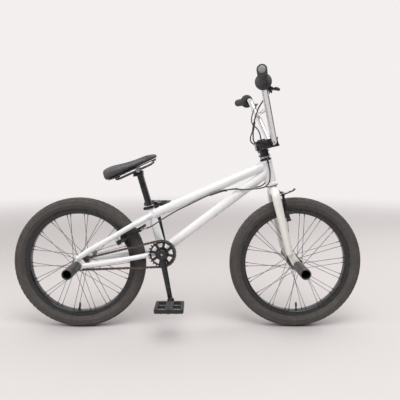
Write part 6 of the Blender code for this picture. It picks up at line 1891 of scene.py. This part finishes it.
# %% Saddle cover
SADDLE_REAR = Vector((-324.0, 0.0, 611.0))
SADDLE_NOSE = Vector((-112.0, 0.0, 677.0))
SADDLE_ALONG = (SADDLE_NOSE - SADDLE_REAR).normalized()
SADDLE_UP = SADDLE_ALONG.cross(LEFT)
SADDLE_LENGTH = (SADDLE_NOSE - SADDLE_REAR).length
SADDLE_HALF_WIDTH = 64.0
SADDLE_WIDTHS = [(0.0, 0.52), (0.02, 0.68), (0.06, 0.85), (0.17, 1.0), (0.26, 0.985),
                 (0.35, 0.91), (0.44, 0.77), (0.54, 0.60), (0.64, 0.46), (0.74, 0.37),
                 (0.84, 0.31), (0.94, 0.26), (0.98, 0.21), (1.0, 0.14)]
PAD_SHRINK = 2.6
PAD_VOXEL = 0.005
PAD_MOST = 0.006
PAD_FRAMES = 20
PAD_SMOOTHING = 4
PAD_PRESSURE = 4.0
SEAM_DEPTH = 1.3
SEAM_WIDTH = 1.6


def saddle_point(u, y, height):
    """A point a share u from the saddle's rear to its nose, above its top line."""
    return SADDLE_REAR + SADDLE_ALONG * (u * SADDLE_LENGTH) + LEFT * y + SADDLE_UP * height


def saddle_depth(u):
    """How far the cover's lower edge lies below the top line."""
    return 45.0 - 28.0 * u


def cover_shell(shrink):
    """The cover as a closed skin over its cross-sections, drawn in by shrink."""
    rings = []
    for u, share in SADDLE_WIDTHS:
        w = share * SADDLE_HALF_WIDTH - shrink
        d = saddle_depth(u)
        dish = 2.5 - 7.0 * math.sin(math.pi * u) ** 2 - shrink
        edge = dish - 9.0 * max(0.0, 1.0 - min(u, 1.0 - u) / 0.05) ** 2
        half = [(0.0, edge), (0.28 * w, edge - 0.2), (0.55 * w, edge - 1.0),
                (0.80 * w, edge - 4.0), (0.95 * w, edge - 9.0),
                (1.0 * w, -0.45 * d - 3.0), (0.97 * w, -0.75 * d), (0.90 * w, 1.2 - d)]
        points = half + [(0.5 * w, 1.2 - d), (0.0, 1.2 - d)]
        points += [(-y, z) for y, z in reversed(points[1:-1])]
        inward = shrink * (1.0 - 2.0 * u) / SADDLE_LENGTH
        rings.append([saddle_point(u + inward, y, z) for y, z in points])
    return forged(rings)


def settled(obj):
    """Applies all the object's modifiers."""
    mesh = evaluated(obj)
    obj.modifiers.clear()
    obj.data = mesh


cover = in_metres("saddle_pad", cover_shell(PAD_SHRINK))
round_off = cover.modifiers.new("Subdivision", "SUBSURF")
round_off.levels = round_off.render_levels = 2
remesh = cover.modifiers.new("Remesh", "REMESH")
remesh.mode = "VOXEL"
remesh.voxel_size = PAD_VOXEL
settled(cover)
before_pad = [v.co.copy() for v in cover.data.vertices]
cloth = cover.modifiers.new("Cloth", "CLOTH")
cloth.settings.use_pressure = True
cloth.settings.uniform_pressure_force = PAD_PRESSURE
cloth.settings.effector_weights.gravity = 0.0
for frame_number in range(1, PAD_FRAMES + 1):
    bpy.context.scene.frame_set(frame_number)
settled(cover)
bpy.context.scene.frame_set(1)
moved = [(v.co - old).length for v, old in zip(cover.data.vertices, before_pad)]
under = -SADDLE_UP
for vertex, old in zip(cover.data.vertices, before_pad):
    step = vertex.co - old
    if step.length > PAD_MOST:
        step *= PAD_MOST / step.length
    along = (old / MM - SADDLE_REAR).dot(SADDLE_ALONG) / SADDLE_LENGTH
    height = (old / MM - SADDLE_REAR).dot(SADDLE_UP)
    if height < 3.0 - saddle_depth(along):
        step -= under * max(0.0, step.dot(under))
    vertex.co = old + step
calmed = bmesh.new()
calmed.from_mesh(cover.data)
for _ in range(PAD_SMOOTHING):
    bmesh.ops.smooth_vert(
        calmed, verts=calmed.verts, factor=0.5, use_axis_x=True, use_axis_y=True,
        use_axis_z=True)
calmed.to_mesh(cover.data)
calmed.free()
print("the pad moved by up to", round(1000 * max(moved), 1), "mm before the cap")

# %% [markdown]
# Two sewn seams run along the saddle, one down each edge of the top panel, and a third
# runs round the sides where the vinyl is tucked under. Each is a narrow groove, so the
# mesh is refined first and its points near the seam lines are pressed in.

# %% Saddle seams
refine = cover.modifiers.new("Subdivision", "SUBSURF")
refine.levels = refine.render_levels = 2
settled(cover)


def width_at(u):
    """The saddle's half width at a share of its length."""
    for (u0, s0), (u1, s1) in zip(SADDLE_WIDTHS, SADDLE_WIDTHS[1:]):
        if u <= u1:
            return SADDLE_HALF_WIDTH * (s0 + (s1 - s0) * max(0.0, u - u0) / (u1 - u0))
    return SADDLE_HALF_WIDTH * SADDLE_WIDTHS[-1][1]


for vertex in cover.data.vertices:
    place = vertex.co / MM - SADDLE_REAR
    u = place.dot(SADDLE_ALONG) / SADDLE_LENGTH
    y = place.dot(LEFT)
    height = place.dot(SADDLE_UP)
    if height > -0.42 * saddle_depth(u):
        distance = abs(abs(y) - 0.80 * width_at(u))
    else:
        distance = abs(height + saddle_depth(u) - 6.5)
    press = SEAM_DEPTH * math.exp(-(distance / SEAM_WIDTH) ** 2)
    vertex.co -= vertex.normal * press * MM
cover.data.shade_smooth()
cover.data.materials.clear()
cover.data.materials.append(FINISHES["vinyl"])
cover.name = "saddle_padded_cover"
cover.data.name = "saddle_padded_cover"
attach(cover, "saddle")
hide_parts("saddle_cover")
print("saddle cover:", len(cover.data.polygons), "faces")

# %% [markdown]
# Under the pad lie a moulded base with sockets, two dark rails bent from one wire, and
# the clamp drum on the post. The drum turns in the post's cradle to tilt the saddle.

# %% Saddle base, rails, clamp and post
BASE_DEEP = 3.2
RAIL_RADIUS = 3.5
POST_RADIUS = 12.7
DRUM_RADIUS = 9.0
POST_LENGTH = 236.0


def rail_point(u, y, lift=0.0):
    """A point on the saddle's rails, which run level with the base above them."""
    return saddle_point(u, y, lift - saddle_depth(u) - BASE_DEEP - 10.0)


base_rings = []
for i in range(13):
    u = 0.09 + 0.845 * i / 12
    w = 0.80 * width_at(u)
    d = saddle_depth(u)
    near = [(0.5 * w, 0.6), (w, 0.6), (0.985 * w, 2.4), (0.94 * w, 3.1), (0.5 * w, 3.2)]
    ring_points = near + [(-y, low) for y, low in reversed(near)]
    base_rings.append([saddle_point(u, y, -d - low) for y, low in ring_points])
base_shapes = [forged(base_rings)]
for u, spread, wide in ((0.20, 22.0, 12.0), (0.20, -22.0, 12.0), (0.89, 0.0, 26.0)):
    middle = saddle_point(u, spread, -saddle_depth(u) - BASE_DEEP - 1.2)
    base_shapes.append(block(middle, (16.0, wide, 4.0), SADDLE_UP, SADDLE_ALONG, 1.2))
for u in (0.32, 0.42, 0.52, 0.62):
    wide = 1.3 * width_at(u)
    middle = saddle_point(u, 0.0, -saddle_depth(u) - BASE_DEEP - 0.5)
    base_shapes.append(block(middle, (2.2, wide, 2.0), SADDLE_UP, SADDLE_ALONG, 0.5))
piece("saddle_base_moulding", base_shapes, "black_plastic", "saddle", ["saddle_base"])

half = [rail_point(0.20, 22.0, 6.7), rail_point(0.20, 22.0), rail_point(0.74, 22.0),
        rail_point(0.82, 12.0), rail_point(0.88, 8.0, 2.9)]
corners = half + [Vector((p.x, -p.y, p.z)) for p in reversed(half)]
rails = bent_route(corners, [5.0, 16.0, 10.0, 5.0, 5.0, 10.0, 16.0, 5.0], 8)
piece("saddle_rail_wire", [tube(rails, RAIL_RADIUS, 6)], "dark_steel", "saddle",
      ["saddle_rails"])

CLAMP_AT = rail_point(0.60, 0.0)
drum_half = LEFT * 28.0
clamp_shapes = [rod(CLAMP_AT - drum_half, CLAMP_AT + drum_half, DRUM_RADIUS, sides=56,
                    soft=1.0)]
for side in (-1, 1):
    face = CLAMP_AT + drum_half * side
    clamp_shapes.append(bolt_head(face - LEFT * side * 0.4, LEFT * side, 4.2, 0.9))
piece("saddle_clamp_drum", clamp_shapes, "steel", "saddle", ["saddle_clamp"])

post_top = seat_point((CLAMP_AT.z - 14.0 - BRACKET.z) / math.sin(SEAT_ANGLE))
cradle = [(-17.0, -24.0), (17.0, -24.0), (17.0, -5.0), (14.5, -2.3), (9.6, -2.0)]
cradle += [(9.45 * math.sin(a), -9.45 * math.cos(a)) for a in
           [math.radians(d) for d in range(76, -77, -8)]]
cradle += [(-9.6, -2.0), (-14.5, -2.3), (-17.0, -5.0)]
bolt = CLAMP_AT - UP * 16.0 - Vector((18.0, 0, 0))
piece("seatpost_tube", [
    rod(post_top - SEAT_LINE * POST_LENGTH, post_top - SEAT_LINE * 3.0, POST_RADIUS, sides=56,
        soft=1.0),
    plate([cradle], 30.0, CLAMP_AT, -LEFT, FORWARD, soft=1.0),
    rod(bolt - UP * 9.0, bolt + UP * 4.0, 3.2, sides=24),
    bolt_head(bolt - UP * 5.0, -UP, 5.0, 4.5), hex_nut(bolt + UP * 4.0, UP, 8.0, 3.5),
    block(bolt + Vector((4.0, 0, 1.0)), (14.0, 12.0, 8.0), UP, FORWARD, 1.2)],
    "black_paint", "seatpost", ["seatpost"])
